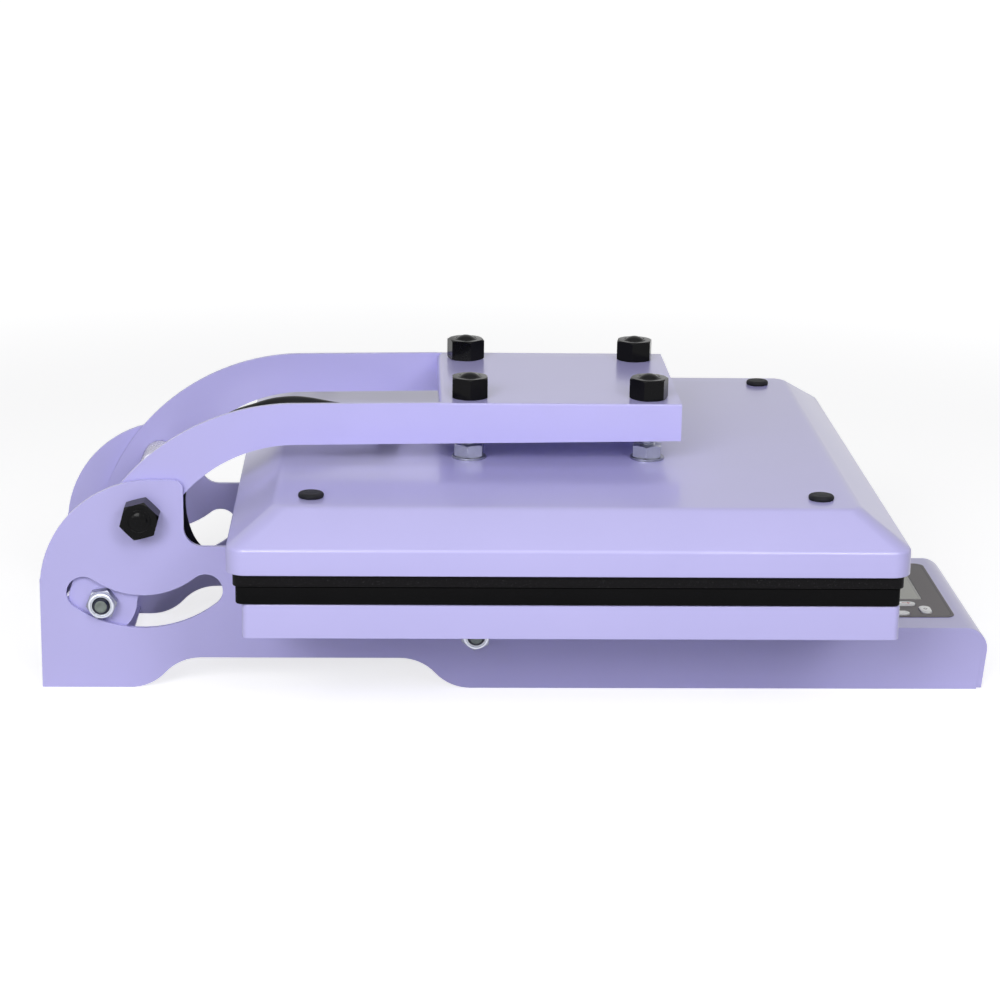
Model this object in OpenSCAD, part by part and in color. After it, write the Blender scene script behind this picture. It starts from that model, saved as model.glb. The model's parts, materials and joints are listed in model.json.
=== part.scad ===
// Flat heat press: hinged heated platen over a padded table, on a slim two-plate base.
// Millimetres. X runs from the rear hinge (-) to the control panel (+), Y across, Z up from the floor.
// The photograph looks along +Y, so the near side is -Y.

/* [Base frame] */
// how far the control nose reaches ahead of the table
nose_ahead = 78; // [65:1:100]
// how far the table overhangs the riser behind the control panel
table_over = 30; // [20:1:40]
// width of the base over its two side plates
base_wid = 152; // [120:1:200]
// thickness of the side plates and of the yoke
sheet = 3; // [2:0.5:5]
// radius of the big round behind the hinge
lobe_r = 70; // [50:1:90]
// height of that round's centre
lobe_z = 63; // [50:1:80]
// rear edge to the front edge of the hinge tab
tab_x = 88.5; // [80:0.5:100]
// corner radius of the hinge tab
tab_r = 6; // [3:0.5:10]
// height of the low edge in front of the tab
notch_z = 91; // [80:1:100]
// radius at the foot of the tab
notch_r = 12; // [6:1:20]
// rear edge to the end of that low edge
notch_end = 122; // [110:1:128]
// radius where the edge drops under the table
notch_end_r = 8; // [4:1:12]
// height of the plates under the table
seat_z = 69.7; // [60:0.1:80]
// height of the control panel's top face
panel_z = 40.2; // [35:0.1:50]
// outer radius of the rounded control nose
nose_r = 14; // [8:1:20]
// how far the nose's front leans back down to the bench
nose_lean = 2.4; // [0.5:0.1:4]
// rear edge to the start of the arch under the base
arch_x0 = 54; // [45:1:70]
// rear edge to the end of that arch
arch_x1 = 265; // [240:1:290]
// height of the arch
arch_h = 19.5; // [12:0.5:30]
// length of the curve at each end of the arch
ogee_l = 44; // [30:1:60]

/* [Hinge] */
// rear edge to the hinge line
pivot_in = 62.8; // [55:0.1:75]
// height of the hinge line
pivot_z = 110.6; // [100:0.1:120]
// radius of the hinge rod
rod_r = 6; // [5:0.5:8]
// running clearance of the hinge rod in its bushes
run_gap = 0.05; // [0.02:0.01:0.1]
// radius of a hinge bush
bush_r = 8; // [7:0.5:10]
// radius of a bush's flange
bush_flange_r = 11; // [9:0.5:13]
// thickness of a bush's flange
bush_flange = 0.5; // [0.3:0.1:1]
// hinge line to the tail bolts, the radius of the arc slots
tail_r = 61.5; // [50:0.5:70]
// tail bolts behind straight down when closed
tail_turn = 24; // [20:1:30]
// width of the arc slots
slot_w = 21; // [19.8:0.1:24]
// arc slot behind straight down
slot_back = 36; // [30:1:40]
// arc slot in front of straight down
slot_front = 38.9; // [30:0.1:45]

/* [Yoke] */
// gap between the yoke's arms and the side plates
yoke_gap = 0.8; // [0.5:0.1:2]
// outer radius of the curved arms
arm_out_r = 140; // [120:1:160]
// inner radius of the curved arms
arm_in_r = 92; // [80:1:110]
// hinge line to where the arms turn straight
arm_bend_x = 95.2; // [80:0.1:110]
// hinge line up to the top of the curve
arm_top = 69.6; // [60:0.1:80]
// hinge line up to the inner curve's top
arm_low = 44.1; // [35:0.1:55]
// rise of the arms' upper edge up to the web
arm_rise = 1.2; // [0:0.1:3]
// rise of the arms' lower edge up to the front
arm_low_rise = 3.7; // [0:0.1:6]
// radius of the arms' tail end round the tail bolt
tail_end_r = 21; // [15:0.5:24]
// web's rear edge behind the rear studs
web_back = 18.5; // [15:0.1:30]
// web's front edge ahead of the front studs
web_front = 19; // [15:0.1:30]
// rounding of the web's long edges
bend_r = 1.2; // [0.5:0.1:2.5]
// bend radius of the web's rear lip
lip_r = 4; // [3:0.5:8]
// depth of the web's rear lip
lip_h = 13; // [8:1:20]

/* [Heated platen] */
// hinge line to the rear edge of the platen's cover
cover_ahead = 58.2; // [50:0.1:70]
// cover over its skirt, both ways
cover_w = 394; // [380:1:420]
// top face of the cover, both ways
cover_top_w = 340; // [300:1:360]
// height of the skirt's lower edge
cover_z0 = 109.4; // [100:0.1:120]
// height of the crease over the skirt
skirt_z = 124.7; // [115:0.1:135]
// height of the cover's top face
cover_z1 = 143.2; // [135:0.1:155]
// corner radius of the skirt
skirt_r = 12; // [8:1:25]
// corner radius of the top face
cover_top_r = 9; // [5:1:15]
// how far each crease is softened
crease = 2.6; // [1:0.1:5]
// thickness of the cover's sheet
cover_t = 1.5; // [1:0.1:2.5]
// heater plate inside the cover's skirt, each side
heater_in = 4; // [3:0.1:8]
// thickness of the heater plate
heater_t = 12; // [8:0.5:20]
// corner radius of the heater plate
heater_r = 4; // [3:1:20]
// gap left between heater plate and pad at rest
press_gap = 0.3; // [0.1:0.1:0.5]
// radius of the heating tube
element_r = 4; // [3:0.5:5]
// heating tube's end curves inside the heater plate
element_in = 19; // [12:1:30]
// outermost run of the tube inside the heater plate
element_side = 43; // [30:1:60]
// thickness of the insulation board
wool_t = 11; // [8:0.5:14]
// stud pattern, both ways
stud_span = 110; // [90:1:130]
// plug pattern, both ways
plug_span = 298.6; // [280:0.2:310]
// diameter of a plug's head
plug_d = 15; // [10:0.5:20]
// height of a plug's head over the cover
plug_h = 3.1; // [2:0.1:6]
// diameter of a plug's stem
plug_stem_d = 8; // [6:0.5:10]

/* [Table] */
// table's middle ahead of the platen's middle
table_dx = 2; // [0:0.5:5]
// table pan, both ways
table_w = 380; // [360:1:390]
// height of the table pan's lower edge
table_z0 = 70; // [60:0.1:80]
// height of the table pan's top
table_z1 = 90.7; // [80:0.1:100]
// corner radius of the table pan
table_r = 4; // [3.5:0.5:20]
// thickness of the table pan
table_t = 2; // [1:0.1:3]
// silicone pad, both ways
pad_w = 383; // [360:1:390]
// thickness of the silicone pad
pad_t = 10.7; // [6:0.1:15]
// corner radius of the pad
pad_r = 4; // [3:1:20]
// bolt pattern that holds the table, along X
table_bolt_x = 220; // [120:1:260]
// bolt pattern that holds the table, along Y
table_bolt_y = 90; // [60:1:110]

/* [Hardware] */
// radius of the studs and bolts
m10_r = 5; // [4:0.5:6]
// nut for them, across flats
nut_af = 17; // [15:0.1:19]
// height of a plain nut
nut_h = 8; // [6:0.1:9]
// height of a thin nut
jam_h = 5; // [4:0.1:6]
// height of a locking nut
lock_h = 9.5; // [8:0.1:11]
// radius of a locking nut's collar
collar_r = 8; // [7:0.1:8.4]
// radius of the bolt's bore through a sheet
bore_r = 5.5; // [5.1:0.1:6]
// washer radius
washer_r = 10.5; // [9:0.1:13]
// washer thickness
washer_t = 1.5; // [1:0.1:2.5]
// plastic cap, across flats
cap_af = 21.5; // [19:0.1:24]
// height of a cap's hexagon
cap_h = 13; // [12.5:0.1:18]
// height of a cap's dome
dome_h = 2.4; // [1.5:0.1:4]
// radius of a cap's dome at its foot
dome_r = 6.2; // [5:0.1:9]
// hinge nut, across flats
pivot_nut_af = 18; // [17:0.1:19]
// hinge cap, across flats
pivot_cap_af = 21.5; // [21:0.1:26]

/* [Springs and leads] */
// outer leg of each lift spring from the middle
leg_out_y = 66.6; // [60:0.1:68]
// inner leg of each lift spring from the middle
leg_in_y = 38; // [30:0.1:45]
// wire of the lift springs
wire = 4; // [2:0.1:4]
// middle radius of their coils
coil_r = 9.5; // [9:0.1:12]
// whole curls of each lift spring
curls = 5; // [4:1:6]
// length of the inner legs
leg_in_l = 84.5; // [70:0.5:90]
// how far the outer legs reach past the tail bolts
leg_past = 9; // [5:0.5:12]
// rear edge to the tie rod
tie_in = 268; // [240:1:290]
// height of the tie rod
tie_z = 36.4; // [30:0.1:45]
// radius of the tube round the tie rod
tie_tube_r = 8; // [7:0.5:10]
// radius of the black lead
lead_r = 5.5; // [4:0.5:7]
// height of the lead under the table
lead_low_z = 58.2; // [50:0.1:60]
// radius of the inner wiring
cable_r = 3.5; // [2:0.5:5]
// lateral place of the inner wiring
cable_y = 50; // [40:1:52]
// height of the inner wiring
cable_z = 50; // [45:1:60]
// radius of the lead's gland in the cover
gland_r = 8; // [7:0.5:10]
// radius of the small screws
screw_r = 2; // [1.5:0.1:3]
// small screws from the middle
screw_y = 46; // [30:1:60]

/* [Controls] */
// overlay's near edge from the middle
label_y0 = -54.5; // [-65:0.5:-40]
// overlay's far edge from the middle
label_y1 = 62; // [40:0.5:68]
// control nose to the overlay's front edge
label_in = 16.4; // [14:0.1:24]
// size of the overlay along X
label_w = 58; // [50:1:64]
// corner radius of the overlay
label_r = 6; // [3:0.5:10]
// thickness of the overlay
label_t = 0.4; // [0.2:0.1:1]
// display window along X
lcd_w = 30; // [20:1:40]
// display window along Y
lcd_l = 60; // [40:1:70]
// overlay's front edge to the display
lcd_in = 14.6; // [8:0.1:20]
// display's near edge from the middle
lcd_y0 = -18; // [-30:1:0]
// length of an oval button
btn_l = 14; // [10:0.5:18]
// width of an oval button
btn_w = 7.4; // [5:0.1:10]
// how far a button stands proud
btn_h = 0.9; // [0.5:0.1:3]
// travel of a button
btn_travel = 0.6; // [0.3:0.1:1]
// clearance round a button
btn_gap = 0.35; // [0.2:0.05:0.6]
// control board along Y
board_l = 110; // [90:1:120]
// control board along X
board_w = 56; // [40:1:60]

/* [Rear panel] */
// height of the rear panel
rear_h = 46; // [40:1:50]
// rear edge of the base to the rear panel
rear_in = 6; // [2:0.5:10]
// thickness of panels and pans
pan_t = 2; // [1:0.1:3]
// mains inlet, width over its flange
inlet_w = 31; // [28:0.5:34]
// mains inlet, height over its flange
inlet_h = 25; // [22:0.5:28]
// lateral place of the inlet
inlet_y = -30; // [-45:1:-20]
// lateral place of the power switch
switch_y = 28; // [20:1:45]
// power switch, width over its bezel
switch_w = 15; // [13:0.5:18]
// power switch, height over its bezel
switch_h = 30; // [24:0.5:32]
// depth of inlet and switch behind the panel
inlet_deep = 21; // [16:0.5:26]
// rest turn of the rocker
rock_turn = 7; // [4:1:9]

/* [Hidden] */
$fn = 64;
fine = 0.01;
seat = 0.3;
half_w = base_wid / 2;
inner_y = half_w - sheet;
reach = cover_ahead + cover_w / 2;
base_len = pivot_in + reach + table_dx + table_w / 2 + nose_ahead;
seat_end = base_len - nose_ahead - table_over;
rear_x = -base_len / 2;
pivot_x = rear_x + pivot_in;
platen_x = pivot_x + reach;
label_x1 = base_len / 2 - label_in;
web_x0 = reach - stud_span / 2 - web_back;
web_x1 = reach + stud_span / 2 + web_front;
heater_w = cover_w - 2 * heater_in;
element_pitch = (heater_w / 2 - element_side) / 2.5;
element_run = heater_w / 2 - element_in - element_r - element_pitch / 2;
arm_y = inner_y - yoke_gap;
tail_x = pivot_x - tail_r * sin(tail_turn);
tail_z = pivot_z - tail_r * cos(tail_turn);
tie_x = rear_x + tie_in;
tail_at = [-tail_r * sin(tail_turn), -tail_r * cos(tail_turn)];
web_top = pivot_z + arm_top + arm_rise;
web_low = web_top - sheet;
pad_top = table_z1 + pad_t;
heater_z0 = pad_top + press_gap;
heater_z1 = heater_z0 + heater_t;
table_x = platen_x + table_dx;
cover_in_z = cover_z1 - cover_t;
element_z = heater_z1 + element_r + seat;
wool_z0 = element_z + element_r + seat;
shoulder = (cover_w - cover_top_w) * (wool_z0 + wool_t + cover_t - skirt_z) / (cover_z1 - skirt_z);
wool_w = cover_w - shoulder - 2 * cover_t - 6 * seat;
stud_top = web_top + nut_h + m10_r * 0.4;
stud_z0 = heater_z0 + sheet;
label_z = panel_z + label_t;
deck_x0 = platen_x - table_w / 2 + table_dx;
deck_x1 = rear_x + seat_end - tab_r;
rear_face = rear_x + rear_in;
floor_z = sheet;
bulk_x = tie_x + washer_r * 2 - nut_h * 0.6;
inlet_mid_z = floor_z + pan_t + switch_h / 2 + pan_t;
gland_x = pivot_x + web_x0 - nut_af * 1.8;
vent_x = [bulk_x + nut_af * 3, bulk_x + nut_af * 5.5];
lead_end_x = bulk_x + nut_af;
clip_x = deck_x0 + nut_af * 3;
board_z = panel_z - sheet * 4;
key_top = board_z + pan_t + sheet + btn_travel + seat;
board_x = label_x1 - board_w / 2 - pan_t;
leg_in_turn = 225;
corner_steps = 8;
// turns of the caps, near left, far left, near right, far right
cap_turns = [30, 44, 12, 20];
// places of the buttons: X, Y and turn
buttons = [[label_x1 - btn_l * 2, lcd_y0 - btn_w * 1.4, 0],
    [label_x1 - btn_l * 1.2, lcd_y0 - btn_w * 3.05, 90],
    [label_x1 - btn_l * 2.5, lcd_y0 - btn_w * 4, 0]];

paint = [0.74, 0.71, 0.93];
zinc = [0.8, 0.81, 0.84];
black = [0.05, 0.05, 0.05];
dark = [0.14, 0.14, 0.15];
alloy = [0.7, 0.7, 0.72];

// helpers

// a slab of the drawing in X and Z, from y_far back by t towards the viewer
module slab(y_far, t) {
    translate([0, y_far, 0])
        rotate([90, 0, 0])
            linear_extrude(t)
                children();
}

// a plain block between two corners
module block(a, b) {
    translate(a)
        cube(b - a);
}

// the sliver outside a rounded corner at p, whose body lies towards the sides s
module nick(p, r, s) {
    difference() {
        translate([min(p[0], p[0] + s[0] * r), min(p[1], p[1] + s[1] * r)])
            square(r);
        translate(p + s * r)
            circle(r);
    }
}

// a rectangle with four round corners, on its middle
module soft_rect(lx, ly, r) {
    square([lx - 2 * r, ly], center = true);
    square([lx, ly - 2 * r], center = true);
    for (sx = [-1, 1], sy = [-1, 1])
        translate([sx * (lx / 2 - r), sy * (ly / 2 - r)])
            circle(r);
}

// a tablet shape, long along X
module oval(l, w) {
    square([l - w, w], center = true);
    for (s = [-1, 1])
        translate([s * (l - w) / 2, 0])
            circle(w / 2);
}

// the four corners of a square or oblong pattern
module four(dx, dy) {
    for (sx = [-1, 1], sy = [-1, 1])
        translate([sx * dx / 2, sy * dy / 2, 0])
            children();
}

// hexagon bar with lightly turned corners, standing on z = 0
module hex_bar(af, h, turned) {
    intersection() {
        cylinder(r = af / sqrt(3), h = h, $fn = 6);
        rotate_extrude()
            polygon([[0, 0], [af / sqrt(3) - turned, 0], [af / sqrt(3), turned * 0.6],
                [af / sqrt(3), h - turned * 0.6], [af / sqrt(3) - turned, h], [0, h]]);
    }
}

// plain nut with its bore, standing on z = 0
module nut(af, h, r) {
    difference() {
        hex_bar(af, h, af * 0.06);
        translate([0, 0, -h])
            cylinder(r = r, h = 3 * h);
    }
}

// locking nut: hexagon with a round collar on its outer end
module lock_nut(af, h, r, collar) {
    difference() {
        union() {
            hex_bar(af, h * 0.72, af * 0.06);
            cylinder(r = collar, h = h - collar * 0.1);
            translate([0, 0, h - collar * 0.1])
                cylinder(r1 = collar, r2 = collar * 0.88, h = collar * 0.1);
        }
        translate([0, 0, -h])
            cylinder(r = r, h = 3 * h);
    }
}

// hexagon cap with a dome on top and a pocket for its nut, standing on z = 0
module hex_cap(af, h, dome, foot, nut_flat, deep) {
    ball = (foot * foot + dome * dome) / (2 * dome);
    difference() {
        union() {
            hex_bar(af, h, af * 0.07);
            intersection() {
                translate([0, 0, h + dome - ball])
                    sphere(ball);
                translate([0, 0, h - dome])
                    cylinder(r = foot, h = 3 * dome);
            }
        }
        translate([0, 0, -h])
            cylinder(r = (nut_flat + seat) / sqrt(3), h = h + deep, $fn = 6);
    }
}

// turns a piece that stands on z = 0 to point out of the near side, from y = -y0
module near_side(x, y0, z, turn = 0) {
    translate([x, -y0, z])
        rotate([90, 0, 0])
            rotate([0, 0, turn])
                children();
}

// the same on both sides
module both_sides(x, y0, z, turn = 0) {
    near_side(x, y0, z, turn)
        children();
    mirror([0, 1, 0])
        near_side(x, y0, z, turn + 17)
            children();
}

// a closed skin over rings of m points each
module skin(pts, m) {
    last = len(pts) - m;
    body = [for (i = [0:m:last - m], k = [0:m - 1])
        let (a = i + k, b = i + (k + 1) % m)
        each [[a, b + m, b], [a, a + m, b + m]]];
    ends = [[for (k = [0:m - 1]) k], [for (k = [m - 1:-1:0]) last + k]];
    polyhedron(points = pts, faces = concat(body, ends), convexity = 12);
}

// a solid through rounded squares, each given by half width, height and corner radius
module loft(rings) {
    skin([for (g = rings, q = [0:3], k = [0:corner_steps])
        let (a = 90 * (q + k / corner_steps), c = g[0] - g[2])
        [(q == 0 || q == 3 ? c : -c) + g[2] * cos(a), (q < 2 ? c : -c) + g[2] * sin(a), g[1]]],
        4 * (corner_steps + 1));
}

// an unbroken tube along points, its section carried from point to point
function unit(v) = v / norm(v);
function along(p, i) = unit(p[min(i + 1, len(p) - 1)] - p[max(i - 1, 0)]);
function carried(p, up) = [for (i = 0, u = unit(up - along(p, 0) * (up * along(p, 0)));
    i < len(p);
    i = i + 1, u = i < len(p) ? unit(u - along(p, i) * (u * along(p, i))) : u) u];
module tube(p, r, sides, up) {
    ups = carried(p, up);
    n = len(p);
    skin([for (i = [0:n - 1], k = [0:sides - 1])
        let (a = 360 * k / sides)
        p[i] + r * cos(a) * ups[i] + r * sin(a) * cross(along(p, i), ups[i])], sides);
}

// a smooth run through hand-placed points
function smooth(a, b, c, d, t) = 0.5 * (2 * b + (c - a) * t + (2 * a - 5 * b + 4 * c - d) * t * t
    + (3 * b - a - 3 * c + d) * t * t * t);
function run(p, steps) = concat([for (i = [0:len(p) - 2], k = [0:steps - 1])
    smooth(p[max(i - 1, 0)], p[i], p[i + 1], p[min(i + 2, len(p) - 1)], k / steps)], [p[len(p) - 1]]);

// base frame

// one end curve of the arch, two equal arcs from foot to top, the arch towards side s
function ogee(x, s) = let (
    r = (ogee_l * ogee_l + arch_h * arch_h) / (4 * arch_h),
    turn = 2 * atan(arch_h / ogee_l),
    arc = [for (k = [0:8]) r * [sin(turn * k / 8), 1 - cos(turn * k / 8)]])
    concat([for (k = [0:7]) [x + s * arc[k][0], arc[k][1]]],
        [for (k = [8:-1:0]) [x + s * (ogee_l - arc[k][0]), arch_h - arc[k][1]]]);

module arch() {
    front = ogee(arch_x1, -1);
    polygon(concat([[arch_x0, -arch_h]], ogee(arch_x0, 1), [for (k = [len(front) - 1:-1:0]) front[k]],
        [[arch_x1, -arch_h]]));
}

// arc slot round the hinge line, in the hinge's own place
module arc_slot() {
    far = tail_r * 2;
    intersection() {
        difference() {
            circle(tail_r + slot_w / 2, $fn = 96);
            circle(tail_r - slot_w / 2, $fn = 96);
        }
        polygon([[0, 0], far * [-sin(slot_back), -cos(slot_back)], far * [0, -1],
            far * [sin(slot_front), -cos(slot_front)]]);
    }
    for (a = [-slot_back, slot_front])
        translate(tail_r * [sin(a), -cos(a)])
            circle(slot_w / 2 + 2 * fine);
}

// what the leaning front takes off a straight one at x, in a side view
module nose_wedge(x) {
    polygon([[x - nose_lean, 0], [x, panel_z - nose_r], [x + sheet, panel_z - nose_r],
        [x + sheet, -sheet], [x - nose_lean, -sheet]]);
}

module plate_outline() {
    front = base_len - sheet;
    low = panel_z - sheet;
    difference() {
        union() {
            square([seat_end, lobe_z]);
            intersection() {
                translate([lobe_r, lobe_z])
                    circle(lobe_r, $fn = 128);
                translate([0, lobe_z])
                    square(lobe_r);
            }
            difference() {
                translate([lobe_r, 0])
                    square([tab_x - lobe_r, lobe_z + lobe_r]);
                nick([tab_x, lobe_z + lobe_r], tab_r, [-1, -1]);
            }
            difference() {
                translate([tab_x, 0])
                    square([notch_r, notch_z + notch_r]);
                translate([tab_x + notch_r, notch_z + notch_r])
                    circle(notch_r);
            }
            difference() {
                translate([tab_x, 0])
                    square([notch_end - tab_x, notch_z]);
                nick([notch_end, notch_z], notch_end_r, [-1, -1]);
            }
            difference() {
                square([seat_end, seat_z]);
                nick([seat_end, seat_z], tab_r, [-1, -1]);
            }
            difference() {
                square([front, low]);
                nick([front, low], nose_r - sheet, [-1, -1]);
            }
        }
        arch();
        nose_wedge(front);
        translate([pivot_in, pivot_z])
            arc_slot();
        translate([pivot_in, pivot_z])
            circle(rod_r + run_gap);
        translate([tie_in, tie_z])
            circle(m10_r + run_gap);
    }
}

module side_plate(y_far) {
    color(paint)
        translate([rear_x, 0, 0])
            slab(y_far, sheet)
                plate_outline();
}

module side_plate_near() {
    side_plate(-inner_y);
}

module side_plate_far() {
    side_plate(half_w);
}

// folded deck under the table, with down-turned sides against the side plates
module table_deck() {
    low = table_z0 - nut_h * 2;
    color(paint)
        difference() {
            union() {
                block([deck_x0, -inner_y, table_z0 - pan_t], [deck_x1, inner_y, table_z0]);
                block([deck_x0, -inner_y, low], [deck_x1, -inner_y + pan_t, table_z0]);
                block([deck_x0, inner_y - pan_t, low], [deck_x1, inner_y, table_z0]);
                block([deck_x0, -inner_y, low], [deck_x0 + pan_t, inner_y, table_z0]);
            }
            translate([table_x, 0, low])
                four(table_bolt_x, table_bolt_y)
                    cylinder(r = m10_r * 0.85, h = table_z0);
            // notch in the rear edge for the lead
            translate([deck_x0 - pan_t, 0, lead_low_z])
                rotate([0, 90, 0])
                    cylinder(r = lead_r + washer_t, h = 3 * pan_t);
            block([deck_x0 - pan_t, -lead_r - washer_t, low - pan_t],
                [deck_x0 + 2 * pan_t, lead_r + washer_t, lead_low_z]);
        }
}

// upright wall between rear bay and control bay
module bulkhead() {
    top = table_z0 - pan_t;
    color(paint)
        difference() {
            union() {
                block([bulk_x, -inner_y + pan_t, floor_z + pan_t], [bulk_x + pan_t, inner_y - pan_t, top]);
                block([bulk_x, -inner_y + pan_t, floor_z + pan_t],
                    [bulk_x + nut_af, inner_y - pan_t, floor_z + 2 * pan_t]);
            }
            translate([bulk_x - pan_t, 0, lead_low_z])
                rotate([0, 90, 0])
                    cylinder(r = lead_r + pan_t, h = 3 * pan_t);
            translate([bulk_x - pan_t, cable_y, cable_z])
                rotate([0, 90, 0])
                    cylinder(r = cable_r + pan_t, h = 3 * pan_t);
            translate([bulk_x + nut_af / 2, 0, 0])
                for (s = [-1, 1])
                    translate([0, s * screw_y, 0])
                        cylinder(r = screw_r, h = nut_af);
        }
}

// bent housing: riser, panel top, rounded nose, front wall and lower lip
module housing_outline() {
    x0 = rear_x + seat_end;
    x1 = base_len / 2;
    low = pan_t / 2;
    difference() {
        translate([x0, low])
            square([x1 - x0, panel_z - low]);
        nick([x1, panel_z], nose_r, [-1, -1]);
        nose_wedge(x1);
        difference() {
            translate([x0 - sheet, low - sheet])
                square([x1 - x0, panel_z - low]);
            nick([x1 - sheet, panel_z - sheet], nose_r - sheet, [-1, -1]);
            nose_wedge(x1 - sheet);
        }
    }
}

module control_housing() {
    x0 = rear_x + seat_end;
    lip_x = base_len / 2 - sheet;
    color(paint)
        difference() {
            union() {
                slab(half_w, base_wid)
                    housing_outline();
                block([x0 + seat, -inner_y + seat, panel_z - sheet],
                    [x0 + seat + sheet, inner_y - seat, table_z0 - seat]);
                block([lip_x - nut_af, -inner_y + seat, floor_z + pan_t],
                    [lip_x - nose_lean * 0.4, inner_y - seat, floor_z + 2 * pan_t]);
            }
            translate([label_x1 - lcd_in - lcd_w / 2, lcd_y0 + lcd_l / 2, panel_z - 2 * sheet])
                linear_extrude(4 * sheet)
                    soft_rect(lcd_w - 2 * pan_t, lcd_l - 2 * pan_t, pan_t);
            for (b = buttons)
                translate([b[0], b[1], panel_z - 2 * sheet])
                    linear_extrude(4 * sheet)
                        rotate(b[2])
                            oval(btn_l + 2 * btn_gap, btn_w + 2 * btn_gap);
            for (s = [-1, 1])
                translate([lip_x - nut_af / 2, s * screw_y, 0])
                    cylinder(r = screw_r, h = nut_af);
        }
}

// floor of the control bay, with up-turned edges
module floor_pan() {
    x1 = base_len / 2 - sheet - nose_lean - seat;
    high = floor_z + nut_h;
    color(paint)
        difference() {
            union() {
                block([bulk_x, -inner_y + seat, floor_z], [x1, inner_y - seat, floor_z + pan_t]);
                block([bulk_x + nut_af, -inner_y + seat, floor_z],
                    [x1 - nut_af * 1.3, -inner_y + seat + pan_t, high]);
                block([bulk_x + nut_af, inner_y - seat - pan_t, floor_z],
                    [x1 - nut_af * 1.3, inner_y - seat, high]);
            }
            for (x = [bulk_x + nut_af / 2, base_len / 2 - sheet - nut_af / 2], s = [-1, 1])
                translate([x, s * screw_y, 0])
                    cylinder(r = screw_r + run_gap, h = nut_af);
            for (x = vent_x, y = [-2:2])
                translate([x, y * nut_af, floor_z - pan_t])
                    linear_extrude(3 * pan_t)
                        oval(nut_af * 1.6, pan_t * 2);
        }
}

// screws that hold the floor pan up to its lips
module pan_screws() {
    color(zinc)
        for (x = [bulk_x + nut_af / 2, base_len / 2 - sheet - nut_af / 2], s = [-1, 1])
            translate([x, s * screw_y, 0]) {
                translate([0, 0, floor_z - screw_r])
                    cylinder(r1 = screw_r * 1.5, r2 = screw_r * 1.9, h = screw_r);
                translate([0, 0, floor_z])
                    cylinder(r = screw_r - run_gap, h = nut_h);
            }
}

module rear_panel() {
    mid = inlet_mid_z;
    color(paint)
        difference() {
            union() {
                block([rear_face, -inner_y, floor_z], [rear_face + pan_t, inner_y, rear_h]);
                block([rear_face, -inner_y, floor_z], [rear_x + arch_x0 - pan_t * 3.5, inner_y, floor_z + pan_t]);
            }
            translate([rear_face - pan_t, inlet_y, mid])
                rotate([90, 0, 90])
                    linear_extrude(3 * pan_t)
                        soft_rect(inlet_w - 2 * pan_t, inlet_h - 2 * pan_t, pan_t);
            translate([rear_face - pan_t, switch_y, mid])
                rotate([90, 0, 90])
                    linear_extrude(3 * pan_t)
                        soft_rect(switch_w - pan_t, switch_h - 2 * pan_t, fine * 50);
        }
}

// inlet shell with its shaped recess, seen from outside it faces -X
module mains_inlet() {
    color(black)
        difference() {
            union() {
                translate([rear_face - pan_t, inlet_y, inlet_mid_z])
                    rotate([90, 0, 90])
                        linear_extrude(pan_t)
                            soft_rect(inlet_w, inlet_h, pan_t);
                translate([rear_face - pan_t, inlet_y, inlet_mid_z])
                    rotate([90, 0, 90])
                        linear_extrude(inlet_deep)
                            soft_rect(inlet_w - 2 * pan_t - seat, inlet_h - 2 * pan_t - seat,
                                pan_t - seat / 2);
            }
            translate([rear_face - 2 * pan_t, inlet_y, inlet_mid_z])
                rotate([90, 0, 90])
                    linear_extrude(inlet_deep - pan_t)
                        inlet_recess();
        }
}

// the socket's shape: an oblong with its two upper corners cut off
module inlet_recess() {
    w = inlet_w - 4 * pan_t;
    h = inlet_h - 5 * pan_t;
    c = h * 0.28;
    polygon([[-w / 2, -h / 2], [w / 2, -h / 2], [w / 2, h / 2 - c], [w / 2 - c, h / 2],
        [-w / 2 + c, h / 2], [-w / 2, h / 2 - c]]);
}

module inlet_pins() {
    pin = pan_t;
    back = rear_face + inlet_deep - 3 * pan_t;
    color(zinc)
        for (k = [-1:1])
            let (up = k == 0 ? pin : -pin / 2)
                block([rear_face, inlet_y + k * pin * 3 - pin / 2, inlet_mid_z - pin + up],
                    [back, inlet_y + k * pin * 3 + pin / 2, inlet_mid_z + pin + up]);
}

// switch body with its bezel
module power_switch() {
    inner_h = switch_h - 3 * pan_t;
    inner_w = switch_w - 2 * pan_t;
    color(black)
        difference() {
            union() {
                translate([rear_face - pan_t, switch_y, inlet_mid_z])
                    rotate([90, 0, 90])
                        linear_extrude(pan_t)
                            soft_rect(switch_w, switch_h, pan_t / 2);
                block([rear_face - fine, switch_y - switch_w / 2 + pan_t / 2 + seat,
                    inlet_mid_z - switch_h / 2 + pan_t + seat],
                    [rear_face + inlet_deep - 2 * pan_t, switch_y + switch_w / 2 - pan_t / 2 - seat,
                        inlet_mid_z + switch_h / 2 - pan_t - seat]);
            }
            block([rear_face - 2 * pan_t, switch_y - inner_w / 2, inlet_mid_z - inner_h / 2],
                [rear_face + 2.5 * pan_t, switch_y + inner_w / 2, inlet_mid_z + inner_h / 2]);
        }
}

// rocker, resting with its upper end pressed in
module rocker() {
    l = switch_h / 2 - 2 * pan_t;
    w = switch_w - 2 * pan_t - 2 * seat;
    color(dark) {
        translate([rear_face, switch_y + w / 2, inlet_mid_z])
            rotate([0, rock_turn, 0])
                slab(0, w)
                    polygon([[-pan_t * 1.2, 0], [-pan_t * 1.9, l], [pan_t * 1.5, l * 0.8],
                        [pan_t * 1.5, -l * 0.8], [-pan_t * 1.9, -l]]);
        translate([rear_face, switch_y + (w + seat) / 2, inlet_mid_z])
            slab(0, w + seat)
                circle(pan_t);
    }
}

// table

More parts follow.
